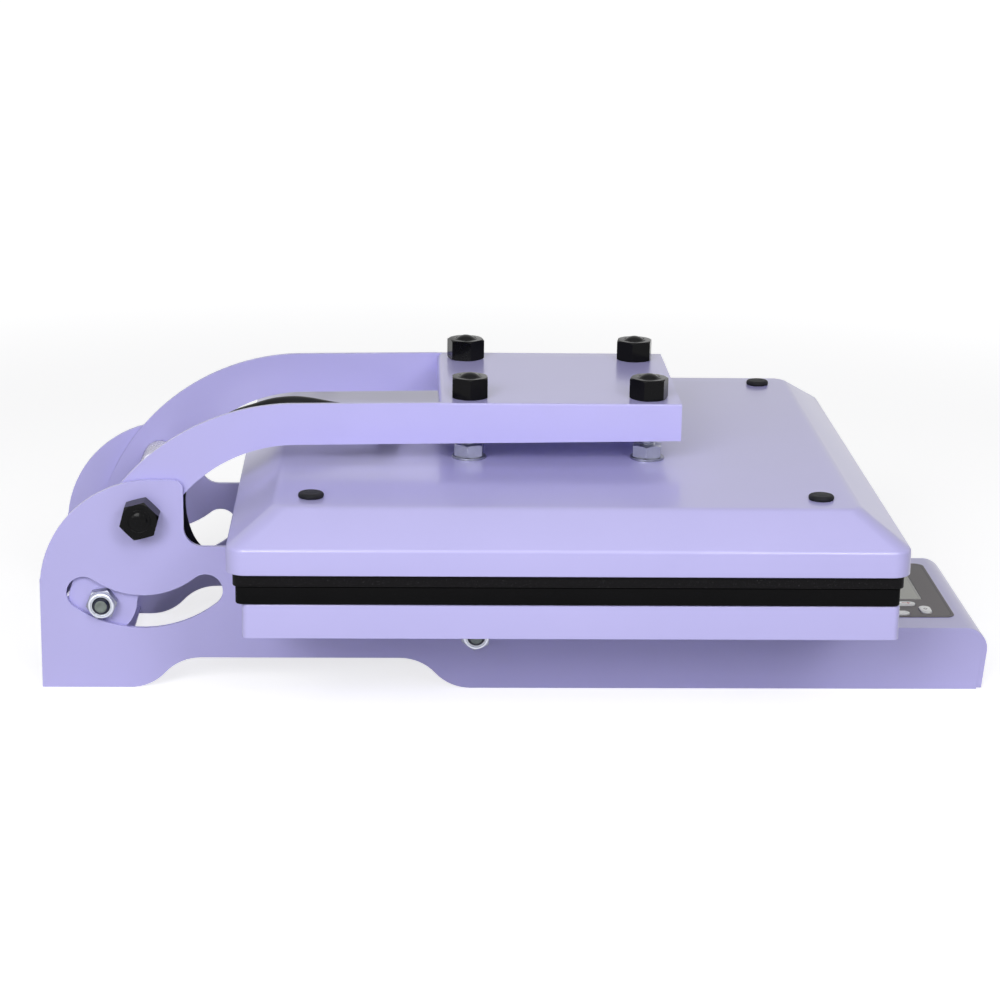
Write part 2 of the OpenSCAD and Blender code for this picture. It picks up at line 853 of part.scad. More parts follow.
// pressed pan with down-turned edges, hollow below
module table_pan() {
    h = table_z1 - table_z0;
    color(paint)
        translate([table_x, 0, table_z0])
            difference() {
                union() {
                    linear_extrude(h - table_t)
                        soft_rect(table_w, table_w, table_r);
                    translate([0, 0, h - table_t])
                        linear_extrude(table_t / 2)
                            soft_rect(table_w, table_w, table_r);
                    translate([0, 0, h - table_t / 2])
                        linear_extrude(table_t / 2)
                            soft_rect(table_w - table_t, table_w - table_t, table_r - table_t / 2);
                }
                translate([0, 0, -table_t])
                    linear_extrude(h)
                        soft_rect(table_w - 2 * table_t, table_w - 2 * table_t, table_r - table_t);
            }
}

// threaded posts welded under the pan
module table_standoffs() {
    color(zinc)
        translate([table_x, 0, table_z0])
            four(table_bolt_x, table_bolt_y)
                difference() {
                    cylinder(r = nut_af / 2, h = table_z1 - table_z0 - table_t);
                    translate([0, 0, -table_t])
                        cylinder(r = m10_r * 0.8, h = table_z1 - table_z0 - table_t);
                }
}

module table_bolts() {
    r = m10_r * 0.8;
    color(zinc)
        translate([table_x, 0, 0])
            four(table_bolt_x, table_bolt_y) {
                translate([0, 0, table_z0 - pan_t])
                    cylinder(r = r - run_gap, h = nut_af);
                translate([0, 0, table_z0 - pan_t - jam_h])
                    hex_bar(nut_af * 0.76, jam_h, r * 0.2);
            }
}

module silicone_pad() {
    color([0.07, 0.07, 0.07])
        translate([platen_x, 0, table_z1])
            linear_extrude(pad_t)
                soft_rect(pad_w, pad_w, pad_r);
}

// hinge

module hinge_rod() {
    color(zinc)
        near_side(pivot_x, -half_w - pivot_nut_af * 0.68, pivot_z)
            cylinder(r = rod_r, h = 2 * (half_w + pivot_nut_af * 0.68));
}

module hinge_nuts() {
    color(zinc)
        both_sides(pivot_x, half_w, pivot_z, 15)
            lock_nut(pivot_nut_af, pivot_nut_af * 0.63, rod_r + run_gap, pivot_nut_af * 0.46);
}

module hinge_caps() {
    color(black)
        both_sides(pivot_x, half_w, pivot_z, 15)
            hex_cap(pivot_cap_af, pivot_nut_af * 0.68 + pan_t * 0.9, dome_h * 0.6, dome_r, pivot_nut_af,
                pivot_nut_af * 0.68 + seat);
}

// flanged bushes pressed into the arms
module hinge_bushes() {
    color([0.75, 0.6, 0.35])
        both_sides(pivot_x, arm_y - sheet, pivot_z)
            difference() {
                union() {
                    cylinder(r = bush_r, h = sheet);
                    translate([0, 0, sheet])
                        cylinder(r = bush_flange_r, h = bush_flange);
                }
                translate([0, 0, -sheet])
                    cylinder(r = rod_r + run_gap, h = 3 * sheet);
            }
}

// yoke: one folded sheet, two curved arms and the web that joins them

// outline of an arm round the hinge line
module arm_outline() {
    deep = arm_bend_x + web_x0;
    intersection() {
        difference() {
            hull() {
                translate([arm_bend_x, arm_top - arm_out_r])
                    circle(arm_out_r, $fn = 160);
                translate(tail_at)
                    circle(tail_end_r);
            }
            translate([arm_bend_x, arm_low - arm_in_r])
                circle(arm_in_r, $fn = 128);
        }
        polygon([[arm_bend_x, arm_top], [arm_bend_x, 0], [bush_flange_r * 0.87, -nut_h * 1.7],
            tail_at + [tail_end_r, 0], [-arm_bend_x, tail_at[1]], [-arm_bend_x, arm_top]]);
    }
    translate(tail_at)
        circle(tail_end_r);
    polygon([[arm_bend_x, arm_low], [web_x1, arm_low + arm_low_rise], [web_x1, arm_top + arm_rise],
        [web_x0, arm_top + arm_rise], [arm_bend_x, arm_top]]);
}

// section across the web: an upside-down channel with crisp shoulders, about its own middle
module web_section() {
    w = 2 * arm_y;
    d = arm_top;
    difference() {
        translate([-w / 2, web_top - d])
            square([w, d]);
        for (s = [-1, 1])
            nick([s * w / 2, web_top], bend_r, [-s, -1]);
        translate([-w / 2 + sheet, web_top - 2 * d])
            square([w - 2 * sheet, 2 * d - sheet]);
    }
}

module yoke() {
    color(paint)
        difference() {
            union() {
                // the arms behind the web
                for (y = [-arm_y + sheet, arm_y])
                    slab(y, sheet)
                        translate([pivot_x, pivot_z])
                            intersection() {
                                arm_outline();
                                translate([-web_x1, -web_x1])
                                    square([web_x1 + web_x0 + fine, 2 * web_x1]);
                            }
                // web and flanges
                intersection() {
                    translate([pivot_x + web_x0, 0, 0])
                        rotate([90, 0, 90])
                            linear_extrude(web_x1 - web_x0)
                                web_section();
                    slab(half_w, base_wid)
                        translate([pivot_x, pivot_z])
                            arm_outline();
                }
                // the web's rolled rear lip
                slab(arm_y - sheet + fine, 2 * (arm_y - sheet + fine))
                    difference() {
                        translate([pivot_x + web_x0, web_top - lip_h])
                            square([sheet, lip_h]);
                        nick([pivot_x + web_x0, web_top], lip_r, [1, -1]);
                    }
            }
            // rounding of the web's rear edge between the arms
            slab(arm_y - sheet, 2 * (arm_y - sheet))
                nick([pivot_x + web_x0, web_top], lip_r, [1, -1]);
            translate([platen_x, 0, web_low - sheet])
                four(stud_span, stud_span)
                    cylinder(r = bore_r, h = 3 * sheet);
            near_side(pivot_x, -base_wid, pivot_z)
                cylinder(r = bush_r + fine, h = 2 * base_wid);
            near_side(tail_x, -base_wid, tail_z)
                cylinder(r = m10_r + run_gap, h = 2 * base_wid);
        }
}

// bolts through the arms' tails: they carry the springs' outer legs and stop the yoke in the slots
module tail_bolts() {
    out = lock_h + sheet;
    head_y = leg_out_y - wire / 2 - seat;
    color(zinc)
        both_sides(tail_x, head_y - nut_h * 0.8, tail_z, 12) {
            hex_bar(nut_af, nut_h * 0.8, nut_af * 0.06);
            cylinder(r = m10_r, h = arm_y + out - head_y + nut_h * 0.8);
        }
}

module tail_nuts() {
    color(zinc)
        both_sides(tail_x, arm_y, tail_z, 8)
            lock_nut(nut_af, lock_h, m10_r + fine, collar_r);
}

// rod that ties the side plates together under the table
module tie_rod() {
    out = half_w + lock_h + sheet;
    color(zinc)
        near_side(tie_x, -out, tie_z)
            cylinder(r = m10_r, h = 2 * out);
}

module tie_nuts() {
    color(zinc)
        both_sides(tie_x, half_w, tie_z, 22)
            lock_nut(nut_af, lock_h, m10_r + fine, collar_r);
}

// distance tube on the tie rod between the side plates
module tie_tube() {
    color(zinc)
        near_side(tie_x, -inner_y, tie_z)
            difference() {
                cylinder(r = tie_tube_r, h = 2 * inner_y);
                translate([0, 0, -sheet])
                    cylinder(r = m10_r + seat, h = 3 * inner_y);
            }
}

// lift springs: outer leg behind the tail bolt, coil round the hinge rod, inner leg on the rear panel
tail_dir = [tail_at[0], 0, tail_at[1]] / tail_r;
tail_side = [tail_at[1], 0, -tail_at[0]] / tail_r;
coil_from = atan2(tail_side[2], tail_side[0]);
coil_to = leg_in_turn + 90 - 360 * (curls + 1);
coil_steps = round((coil_from - coil_to) / 45);
coil_path = concat(
    [for (l = [tail_r + leg_past, tail_r / 2])
        l * tail_dir + (coil_r + (m10_r + wire / 2 + seat - coil_r) * l / tail_r) * tail_side],
    [for (k = [0:coil_steps])
        let (a = coil_from + (coil_to - coil_from) * k / coil_steps)
        [coil_r * cos(a), (leg_out_y - leg_in_y) * k / coil_steps, coil_r * sin(a)]],
    [for (l = [leg_in_l / 2, leg_in_l])
        [coil_r * cos(coil_to) + l * cos(leg_in_turn), leg_out_y - leg_in_y,
            coil_r * sin(coil_to) + l * sin(leg_in_turn)]]);

// least distance between parts of the wire that are not neighbours along it
apart = [for (i = [0:len(coil_path) - 6], j = [i + 5:len(coil_path) - 1])
    norm(coil_path[i] - coil_path[j]) - wire];
echo(least_gap_of_the_coil_to_itself = min(apart));

module lift_spring_near() {
    color(zinc)
        translate([pivot_x, -leg_out_y, pivot_z])
            tube(coil_path, wire / 2, 6, [0, 1, 0]);
}

module lift_spring_far() {
    color(zinc)
        mirror([0, 1, 0])
            translate([pivot_x, -leg_out_y, pivot_z])
                tube(coil_path, wire / 2, 6, [0, 1, 0]);
}

// studs and their hardware

module at_studs() {
    translate([platen_x, 0, 0])
        four(stud_span, stud_span)
            children();
}

module studs() {
    color(zinc)
        at_studs()
            translate([0, 0, stud_z0])
                cylinder(r = m10_r, h = stud_top - stud_z0);
}

module stud_caps() {
    d = stud_span / 2;
    places = [[-d, -d], [-d, d], [d, -d], [d, d]];
    color(black)
        for (k = [0:3])
            translate([platen_x + places[k][0], places[k][1], web_top])
                rotate(cap_turns[k])
                    hex_cap(cap_af, cap_h, dome_h, dome_r, nut_af, stud_top - web_top + seat);
}

module top_nuts() {
    d = stud_span / 2;
    places = [[-d, -d], [-d, d], [d, -d], [d, d]];
    color(zinc)
        for (k = [0:3])
            translate([platen_x + places[k][0], places[k][1], web_top])
                rotate(cap_turns[k])
                    nut(nut_af, nut_h, m10_r + fine);
}

module levelling_nuts() {
    color(zinc)
        at_studs()
            translate([0, 0, web_low - nut_h])
                rotate(10)
                    nut(nut_af, nut_h, m10_r + fine);
}

module clamp_nuts() {
    color(zinc)
        at_studs()
            translate([0, 0, cover_z1 + washer_t])
                rotate(22)
                    nut(nut_af, nut_h * 0.95, m10_r + fine);
}

module clamp_washers() {
    color(zinc)
        at_studs()
            translate([0, 0, cover_z1])
                difference() {
                    cylinder(r = washer_r, h = washer_t);
                    translate([0, 0, -washer_t])
                        cylinder(r = m10_r + seat, h = 3 * washer_t);
                }
}

// tubes that carry the clamping force from cover to heater plate
module stud_spacers() {
    color(zinc)
        at_studs()
            translate([0, 0, heater_z1])
                difference() {
                    cylinder(r = nut_af / 2, h = cover_in_z - heater_z1);
                    translate([0, 0, -washer_t])
                        cylinder(r = m10_r + seat, h = cover_z1);
                }
}

// platen cover: straight skirt, sloping shoulders, flat top, creases softened

cw = cover_w / 2;
tw = cover_top_w / 2;
lean = unit([tw - cw, cover_z1 - skirt_z]);
// each level of the shell: half width, height, corner radius
levels = [[cw, cover_z0, skirt_r],
    [cw, skirt_z - crease, skirt_r],
    [cw - crease * 0.07, skirt_z - crease * 0.42, skirt_r],
    [cw + lean[0] * crease * 0.4 - crease * 0.07,
        skirt_z + lean[1] * crease * 0.4 - crease * 0.12, skirt_r],
    [cw + lean[0] * crease, skirt_z + lean[1] * crease, skirt_r - crease * 0.3],
    [tw - lean[0] * crease, cover_z1 - lean[1] * crease, cover_top_r + crease * 0.3],
    [tw - lean[0] * crease * 0.3 - crease * 0.08,
        cover_z1 - lean[1] * crease * 0.4 - crease * 0.03, cover_top_r],
    [tw - crease * 0.55, cover_z1 - crease * 0.06, cover_top_r],
    [tw - crease, cover_z1, cover_top_r]];

module shell(inset, used) {
    loft([for (k = used)
        [levels[k][0] - inset, levels[k][1] - (k == 0 ? 2 * inset : inset), levels[k][2] - inset * 0.6]]);
}

module platen_cover() {
    color(paint)
        translate([platen_x, 0, 0])
            difference() {
                shell(0, [0:8]);
                shell(cover_t, [0, 2, 4, 5, 8]);
                translate([0, 0, skirt_z]) {
                    four(stud_span, stud_span)
                        cylinder(r = bore_r, h = cover_z1);
                    four(plug_span, plug_span)
                        cylinder(r = plug_stem_d / 2 + seat / 2, h = cover_z1);
                    translate([gland_x - platen_x, 0, 0])
                        cylinder(r = gland_r + seat / 2, h = cover_z1);
                }
            }
}

module heater_plate() {
    color([0.13, 0.13, 0.13])
        difference() {
            translate([platen_x, 0, heater_z0])
                linear_extrude(heater_t)
                    soft_rect(heater_w, heater_w, heater_r);
            at_studs()
                translate([0, 0, stud_z0 - seat])
                    cylinder(r = m10_r + run_gap, h = cover_z1);
        }
}

// heating tube: straight runs joined by half turns, laid on the heater plate
module heating_element() {
    runs = 6;
    lead_in = element_run * 0.6;
    color(alloy)
        translate([platen_x, 0, element_z]) {
            for (k = [0:runs - 1])
                translate([-element_run, (k - (runs - 1) / 2) * element_pitch, 0])
                    rotate([0, 90, 0])
                        cylinder(r = element_r, h = 2 * element_run);
            for (k = [0:runs - 2])
                translate([(k % 2 == 0 ? 1 : -1) * element_run, (k - (runs - 2) / 2) * element_pitch, 0])
                    rotate([0, 0, k % 2 == 0 ? -90 : 90])
                        rotate_extrude(angle = 180)
                            translate([element_pitch / 2, 0])
                                circle(element_r);
        }
}

module insulation() {
    color([0.82, 0.78, 0.66])
        difference() {
            translate([platen_x, 0, wool_z0])
                linear_extrude(wool_t)
                    soft_rect(wool_w, wool_w, skirt_r);
            at_studs()
                translate([0, 0, heater_z1])
                    cylinder(r = nut_af / 2 + seat, h = cover_z1);
            translate([platen_x, 0, wool_z0 - fine])
                linear_extrude(cover_z1)
                    square(nut_af * 2, center = true);
        }
}

// temperature sensor clamped to the heater plate
module heat_sensor() {
    l = nut_af * 1.4;
    color([0.85, 0.83, 0.76])
        translate([platen_x, 0, heater_z1]) {
            linear_extrude(pan_t)
                soft_rect(l, nut_af, pan_t);
            translate([0, 0, pan_t])
                cylinder(r = nut_af * 0.36, h = nut_h * 1.4);
        }
}

module cover_plugs() {
    color(dark)
        translate([platen_x, 0, cover_z1])
            four(plug_span, plug_span)
                union() {
                    rotate_extrude()
                        polygon([[0, 0], [plug_d / 2, 0], [plug_d / 2, plug_h - plug_d * 0.05],
                            [plug_d / 2 - plug_d * 0.05, plug_h], [0, plug_h]]);
                    translate([0, 0, -cover_t * 2.4])
                        cylinder(r = plug_stem_d / 2, h = cover_t * 2.4);
                }
}

// black lead from the base to the platen

// gland on the cover: body, dome nut and lock nut inside
module lead_gland() {
    color(black)
        translate([gland_x, 0, 0])
            difference() {
                union() {
                    translate([0, 0, cover_z1])
                        hex_bar(gland_r * 2.5, gland_r * 0.4, gland_r * 0.08);
                    translate([0, 0, cover_z1 + gland_r * 0.4])
                        cylinder(r1 = gland_r * 1.15, r2 = lead_r + pan_t, h = gland_r * 0.35);
                    translate([0, 0, cover_in_z - gland_r * 0.8])
                        cylinder(r = gland_r, h = gland_r);
                    translate([0, 0, cover_in_z - gland_r * 0.55])
                        hex_bar(gland_r * 2.5, gland_r * 0.55, gland_r * 0.1);
                }
                translate([0, 0, skirt_z])
                    cylinder(r = lead_r + seat, h = cover_z1);
            }
}

// hand-placed route of the lead in the middle plane: X and Z, in shares of its radius
lead_span = gland_x - pivot_x;
lead_route = [[gland_x, wool_z0 + wool_t + seat * 2], [gland_x, cover_z1],
    [gland_x, cover_z1 + gland_r * 0.9], [gland_x - lead_r * 0.5, cover_z1 + gland_r * 1.4],
    [gland_x - lead_r * 2.1, cover_z1 + lead_r * 2.65],
    [gland_x - lead_span * 0.22, cover_z1 + lead_r * 3.05],
    [gland_x - lead_span * 0.365, cover_z1 + lead_r * 3.5],
    [gland_x - lead_span * 0.475, cover_z1 + lead_r * 3.4],
    [gland_x - lead_span * 0.56, cover_z1 + lead_r * 2.8],
    [gland_x - lead_span * 0.655, cover_z1 + lead_r * 1.75],
    [pivot_x + lead_r * 6.2, pivot_z + lead_r * 5.4], [pivot_x + lead_r * 4, pivot_z + lead_r * 2.5],
    [pivot_x + lead_r * 2.95, pivot_z - lead_r * 0.9], [pivot_x + lead_r * 3, pivot_z - lead_r * 3.8],
    [pivot_x + lead_r * 3.8, pivot_z - lead_r * 6.6], [pivot_x + lead_r * 5.3, pivot_z - lead_r * 8.6],
    [pivot_x + lead_r * 7.7, lead_low_z + lead_r * 0.1], [pivot_x + lead_r * 13, lead_low_z],
    [pivot_x + lead_r * 24, lead_low_z], [lead_end_x - nut_af * 2, lead_low_z], [lead_end_x, lead_low_z]];

module lead() {
    color(black)
        tube(run([for (p = lead_route) [p[0], 0, p[1]]], 4), lead_r, 12, [0, 1, 0]);
}

// clip that holds the lead up to the deck
module lead_clip() {
    color(zinc)
        difference() {
            union() {
                translate([clip_x - nut_h, 0, lead_low_z])
                    rotate([0, 90, 0])
                        cylinder(r = lead_r + seat + washer_t, h = 2 * nut_h);
                block([clip_x - nut_h, -washer_t / 2, lead_low_z],
                    [clip_x + nut_h, washer_t / 2, table_z0 - pan_t - washer_t]);
                block([clip_x - nut_h, -washer_t / 2, table_z0 - pan_t - washer_t],
                    [clip_x + nut_h, nut_af, table_z0 - pan_t]);
            }
            translate([clip_x - nut_af, 0, lead_low_z])
                rotate([0, 90, 0])
                    cylinder(r = lead_r + seat, h = 2 * nut_af);
        }
}

// rubber grommets in the bulkhead
module lead_grommet() {
    color(dark)
        for (g = [[0, lead_r, lead_low_z], [cable_y, cable_r, cable_z]])
            translate([bulk_x, g[0], g[2]])
                rotate([0, 90, 0])
                    difference() {
                        union() {
                            translate([0, 0, -washer_t])
                                cylinder(r = g[1] + pan_t + washer_t, h = washer_t);
                            cylinder(r = g[1] + pan_t - run_gap, h = pan_t);
                            translate([0, 0, pan_t])
                                cylinder(r = g[1] + pan_t + washer_t, h = washer_t);
                        }
                        translate([0, 0, -nut_h])
                            cylinder(r = g[1] + seat, h = 3 * nut_h);
                    }
}

// wiring from the switch to the control bay
cable_route = [[rear_face + inlet_deep - 2 * pan_t + seat, switch_y, inlet_mid_z],
    [rear_face + inlet_deep + nut_h, switch_y, inlet_mid_z],
    [rear_face + inlet_deep + nut_af * 1.4, (switch_y + cable_y) / 2, inlet_mid_z + nut_h],
    [rear_face + inlet_deep + nut_af * 3, cable_y, inlet_mid_z + nut_af],
    [rear_face + inlet_deep + nut_af * 5, cable_y, cable_z - pan_t],
    [rear_face + inlet_deep + nut_af * 7, cable_y, cable_z],
    [tie_x - nut_af * 3, cable_y, cable_z], [tie_x, cable_y, cable_z], [lead_end_x, cable_y, cable_z]];

module inner_cable() {
    color(black)
        tube(run(cable_route, 4), cable_r, 10, [0, 0, 1]);
}

// controls

module overlay() {
    color([0.4, 0.38, 0.4])
        difference() {
            translate([label_x1 - label_w / 2, (label_y0 + label_y1) / 2, panel_z])
                linear_extrude(label_t)
                    soft_rect(label_w, label_y1 - label_y0, label_r);
            translate([label_x1 - lcd_in - lcd_w / 2, lcd_y0 + lcd_l / 2, panel_z - label_t])
                linear_extrude(3 * label_t)
                    square([lcd_w, lcd_l], center = true);
            for (b = buttons)
                translate([b[0], b[1], panel_z - label_t])
                    linear_extrude(3 * label_t)
                        rotate(b[2])
                            oval(btn_l + 2 * btn_gap, btn_w + 2 * btn_gap);
        }
}

// display: window in the overlay and its module below the panel
module display() {
    color([0.6, 0.61, 0.56])
        translate([label_x1 - lcd_in - lcd_w / 2, lcd_y0 + lcd_l / 2, panel_z]) {
            linear_extrude(label_t)
                square([lcd_w - seat, lcd_l - seat], center = true);
            translate([0, 0, -sheet * 2])
                linear_extrude(sheet * 2)
                    soft_rect(lcd_w - 2 * pan_t - seat, lcd_l - 2 * pan_t - seat, pan_t);
        }
}

// one oval button with its stem down to its key switch
module button(b) {
    color([0.85, 0.85, 0.84])
        translate([b[0], b[1], 0])
            rotate(b[2]) {
                translate([0, 0, panel_z - sheet - seat])
                    linear_extrude(sheet + seat + label_t + btn_h - btn_w * 0.05)
                        oval(btn_l, btn_w);
                translate([0, 0, label_z + btn_h - btn_w * 0.05])
                    linear_extrude(btn_w * 0.05)
                        oval(btn_l - btn_w * 0.1, btn_w - btn_w * 0.1);
                translate([0, 0, key_top])
                    cylinder(r = screw_r, h = panel_z - sheet - key_top);
            }
}

module button_far() {
    button(buttons[0]);
}

module button_front() {
    button(buttons[1]);
}

module button_near() {
    button(buttons[2]);
}

module control_board() {
    color([0.1, 0.35, 0.2])
        difference() {
            translate([board_x, 0, board_z])
                linear_extrude(pan_t)
                    soft_rect(board_w, board_l, pan_t);
            translate([board_x, 0, board_z - pan_t])
                four(board_w - nut_h, board_l - nut_h)
                    cylinder(r = screw_r, h = 3 * pan_t);
        }
}

// posts that hang the board from the panel
module board_posts() {
    color(zinc)
        translate([board_x, 0, 0])
            four(board_w - nut_h, board_l - nut_h) {
                translate([0, 0, board_z + pan_t])
                    cylinder(r = screw_r * 1.6, h = panel_z - sheet - board_z - pan_t);
                translate([0, 0, board_z - pan_t])
                    cylinder(r = screw_r - run_gap, h = 2 * pan_t);
                translate([0, 0, board_z - pan_t])
                    cylinder(r = screw_r * 1.6, h = pan_t);
            }
}

module key_switches() {
    color(dark)
        for (b = buttons)
            translate([b[0], b[1], board_z + pan_t])
                linear_extrude(sheet)
                    soft_rect(btn_w * 0.85, btn_w * 0.85, seat * 2);
}

// relay block on the floor of the control bay
module relay() {
    l = nut_af * 3.4;
    color([0.85, 0.85, 0.82])
        translate([rear_x + seat_end - l * 1.1, -nut_af, floor_z + pan_t]) {
            block([-l / 2, -l * 0.38, 0], [l / 2, l * 0.38, nut_h * 2.6]);
            block([-l / 2, -l * 0.28, nut_h * 2.6], [-l * 0.3, l * 0.28, nut_h * 3]);
            block([l * 0.3, -l * 0.28, nut_h * 2.6], [l / 2, l * 0.28, nut_h * 3]);
        }
}

// terminal block where lead and wiring end
module terminal_block() {
    l = nut_af * 4.2;
    x0 = lead_end_x + seat;
    color([0.9, 0.9, 0.86])
        difference() {
            block([x0, -nut_h, cable_z - cable_r], [x0 + nut_af, l - nut_h, table_z0 - pan_t]);
            for (k = [0:4])
                translate([x0 + nut_af / 2, k * nut_af * 0.75, cable_z - nut_h])
                    cylinder(r = screw_r, h = nut_af);
        }
}

side_plate_near();
side_plate_far();
table_deck();
bulkhead();
control_housing();
floor_pan();
pan_screws();
rear_panel();
mains_inlet();
inlet_pins();
power_switch();
rocker();
table_pan();
table_standoffs();
table_bolts();
silicone_pad();
hinge_rod();
hinge_nuts();
hinge_caps();
hinge_bushes();
yoke();
tail_bolts();
tail_nuts();
tie_rod();
tie_nuts();
tie_tube();
lift_spring_near();
lift_spring_far();
studs();
stud_caps();
top_nuts();
levelling_nuts();
clamp_nuts();
clamp_washers();
stud_spacers();
platen_cover();
heater_plate();
heating_element();
insulation();
heat_sensor();
cover_plugs();
lead_gland();
lead();
lead_clip();
lead_grommet();
overlay();
display();
button_far();
button_front();
button_near();
control_board();
board_posts();
key_switches();
relay();
terminal_block();
inner_cable();
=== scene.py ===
import json
from math import atan2, cos, pi, radians, sin

import bmesh
import bpy
from mathutils import Matrix, Vector

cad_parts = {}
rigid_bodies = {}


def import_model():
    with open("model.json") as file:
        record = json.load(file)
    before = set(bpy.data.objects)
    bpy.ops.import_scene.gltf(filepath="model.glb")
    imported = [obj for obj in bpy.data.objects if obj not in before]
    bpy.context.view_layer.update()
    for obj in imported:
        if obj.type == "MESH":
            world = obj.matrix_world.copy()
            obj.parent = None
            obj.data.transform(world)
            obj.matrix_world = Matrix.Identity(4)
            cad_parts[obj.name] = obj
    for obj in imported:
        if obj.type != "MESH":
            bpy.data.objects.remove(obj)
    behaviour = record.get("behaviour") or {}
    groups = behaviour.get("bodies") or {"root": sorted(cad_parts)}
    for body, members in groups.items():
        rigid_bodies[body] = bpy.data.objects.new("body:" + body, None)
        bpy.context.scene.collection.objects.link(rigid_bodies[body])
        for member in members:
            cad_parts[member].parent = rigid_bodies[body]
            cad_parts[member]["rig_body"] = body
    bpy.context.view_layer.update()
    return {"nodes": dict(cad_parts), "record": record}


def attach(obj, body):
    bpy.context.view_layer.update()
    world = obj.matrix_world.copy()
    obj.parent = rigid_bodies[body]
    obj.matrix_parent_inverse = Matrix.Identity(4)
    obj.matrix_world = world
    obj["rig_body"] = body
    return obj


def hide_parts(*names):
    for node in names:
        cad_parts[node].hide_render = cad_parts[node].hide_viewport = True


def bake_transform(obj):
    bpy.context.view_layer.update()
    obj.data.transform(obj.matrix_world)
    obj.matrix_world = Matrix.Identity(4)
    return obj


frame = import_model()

NODES = frame["nodes"]
SLOT_OF = {s["node"]: s["material_slot"] for s in frame["record"]["subparts"]}
MM = 0.001

# sizes of the press, in millimetres, as the frame has them
PLATEN_X, TABLE_X = 24.0, 26.0              # middles of platen and pad, and of the table pan
PAN_FOOT, PAN_TOP, PAD_TOP = 70.0, 90.7, 101.4
HEATER_FOOT, HEATER_TOP = 101.7, 113.7
COVER_FOOT, COVER_CREASE, COVER_TOP = 109.4, 124.7, 143.2
PIVOT = (-231.2, 110.6)                     # x and z of the hinge
TAIL = (-256.21, 54.42)                     # x and z of the tail bolts
TIE = (-26.0, 36.4)                         # x and z of the tie rod
M10, M10_CORE, M10_PITCH = 4.97, 4.25, 1.5  # radius over the thread, radius below it, pitch
LEAD_R, WIRING_R = 5.5, 3.5
STUDS = [(sx * 55.0 + PLATEN_X, sy * 55.0) for sx in (-1, 1) for sy in (-1, 1)]
PLUGS = [(sx * 149.3 + PLATEN_X, sy * 149.3) for sx in (-1, 1) for sy in (-1, 1)]
BUTTONS = {"button_far": (249.6, -28.36, 0), "button_front": (260.8, -40.57, 90),
           "button_near": (242.6, -47.6, 0)}  # x, y and turn in degrees


# ---------------------------------------------------------------- shader maths

class Val:
    """A socket that takes part in plain Python sums."""

    def __init__(self, finish, socket):
        self.finish, self.socket = finish, socket

    def _sum(self, operation, a, b):
        return self.finish.node("Math", {"operation": operation}, {0: a, 1: b})

    def __add__(self, other):
        return self._sum("ADD", self, other)

    def __sub__(self, other):
        return self._sum("SUBTRACT", self, other)

    def __rsub__(self, other):
        return self._sum("SUBTRACT", other, self)

    def __mul__(self, other):
        return self._sum("MULTIPLY", self, other)

    __radd__ = __add__
    __rmul__ = __mul__

    def below(self, limit):
        return self._sum("LESS_THAN", self, limit)

    def above(self, limit):
        return self._sum("GREATER_THAN", self, limit)

    def size(self):
        return self._sum("ABSOLUTE", self, 0.0)

    def root(self):
        return self._sum("SQRT", self, 0.0)

    def most(self, other):
        return self._sum("MAXIMUM", self, other)

    def band(self, low, high):
        """0 below low, 1 above high, even between."""
        return self.finish.node("MapRange", {"interpolation_type": "SMOOTHSTEP"},
                                {"Value": self, "From Min": low, "From Max": high})


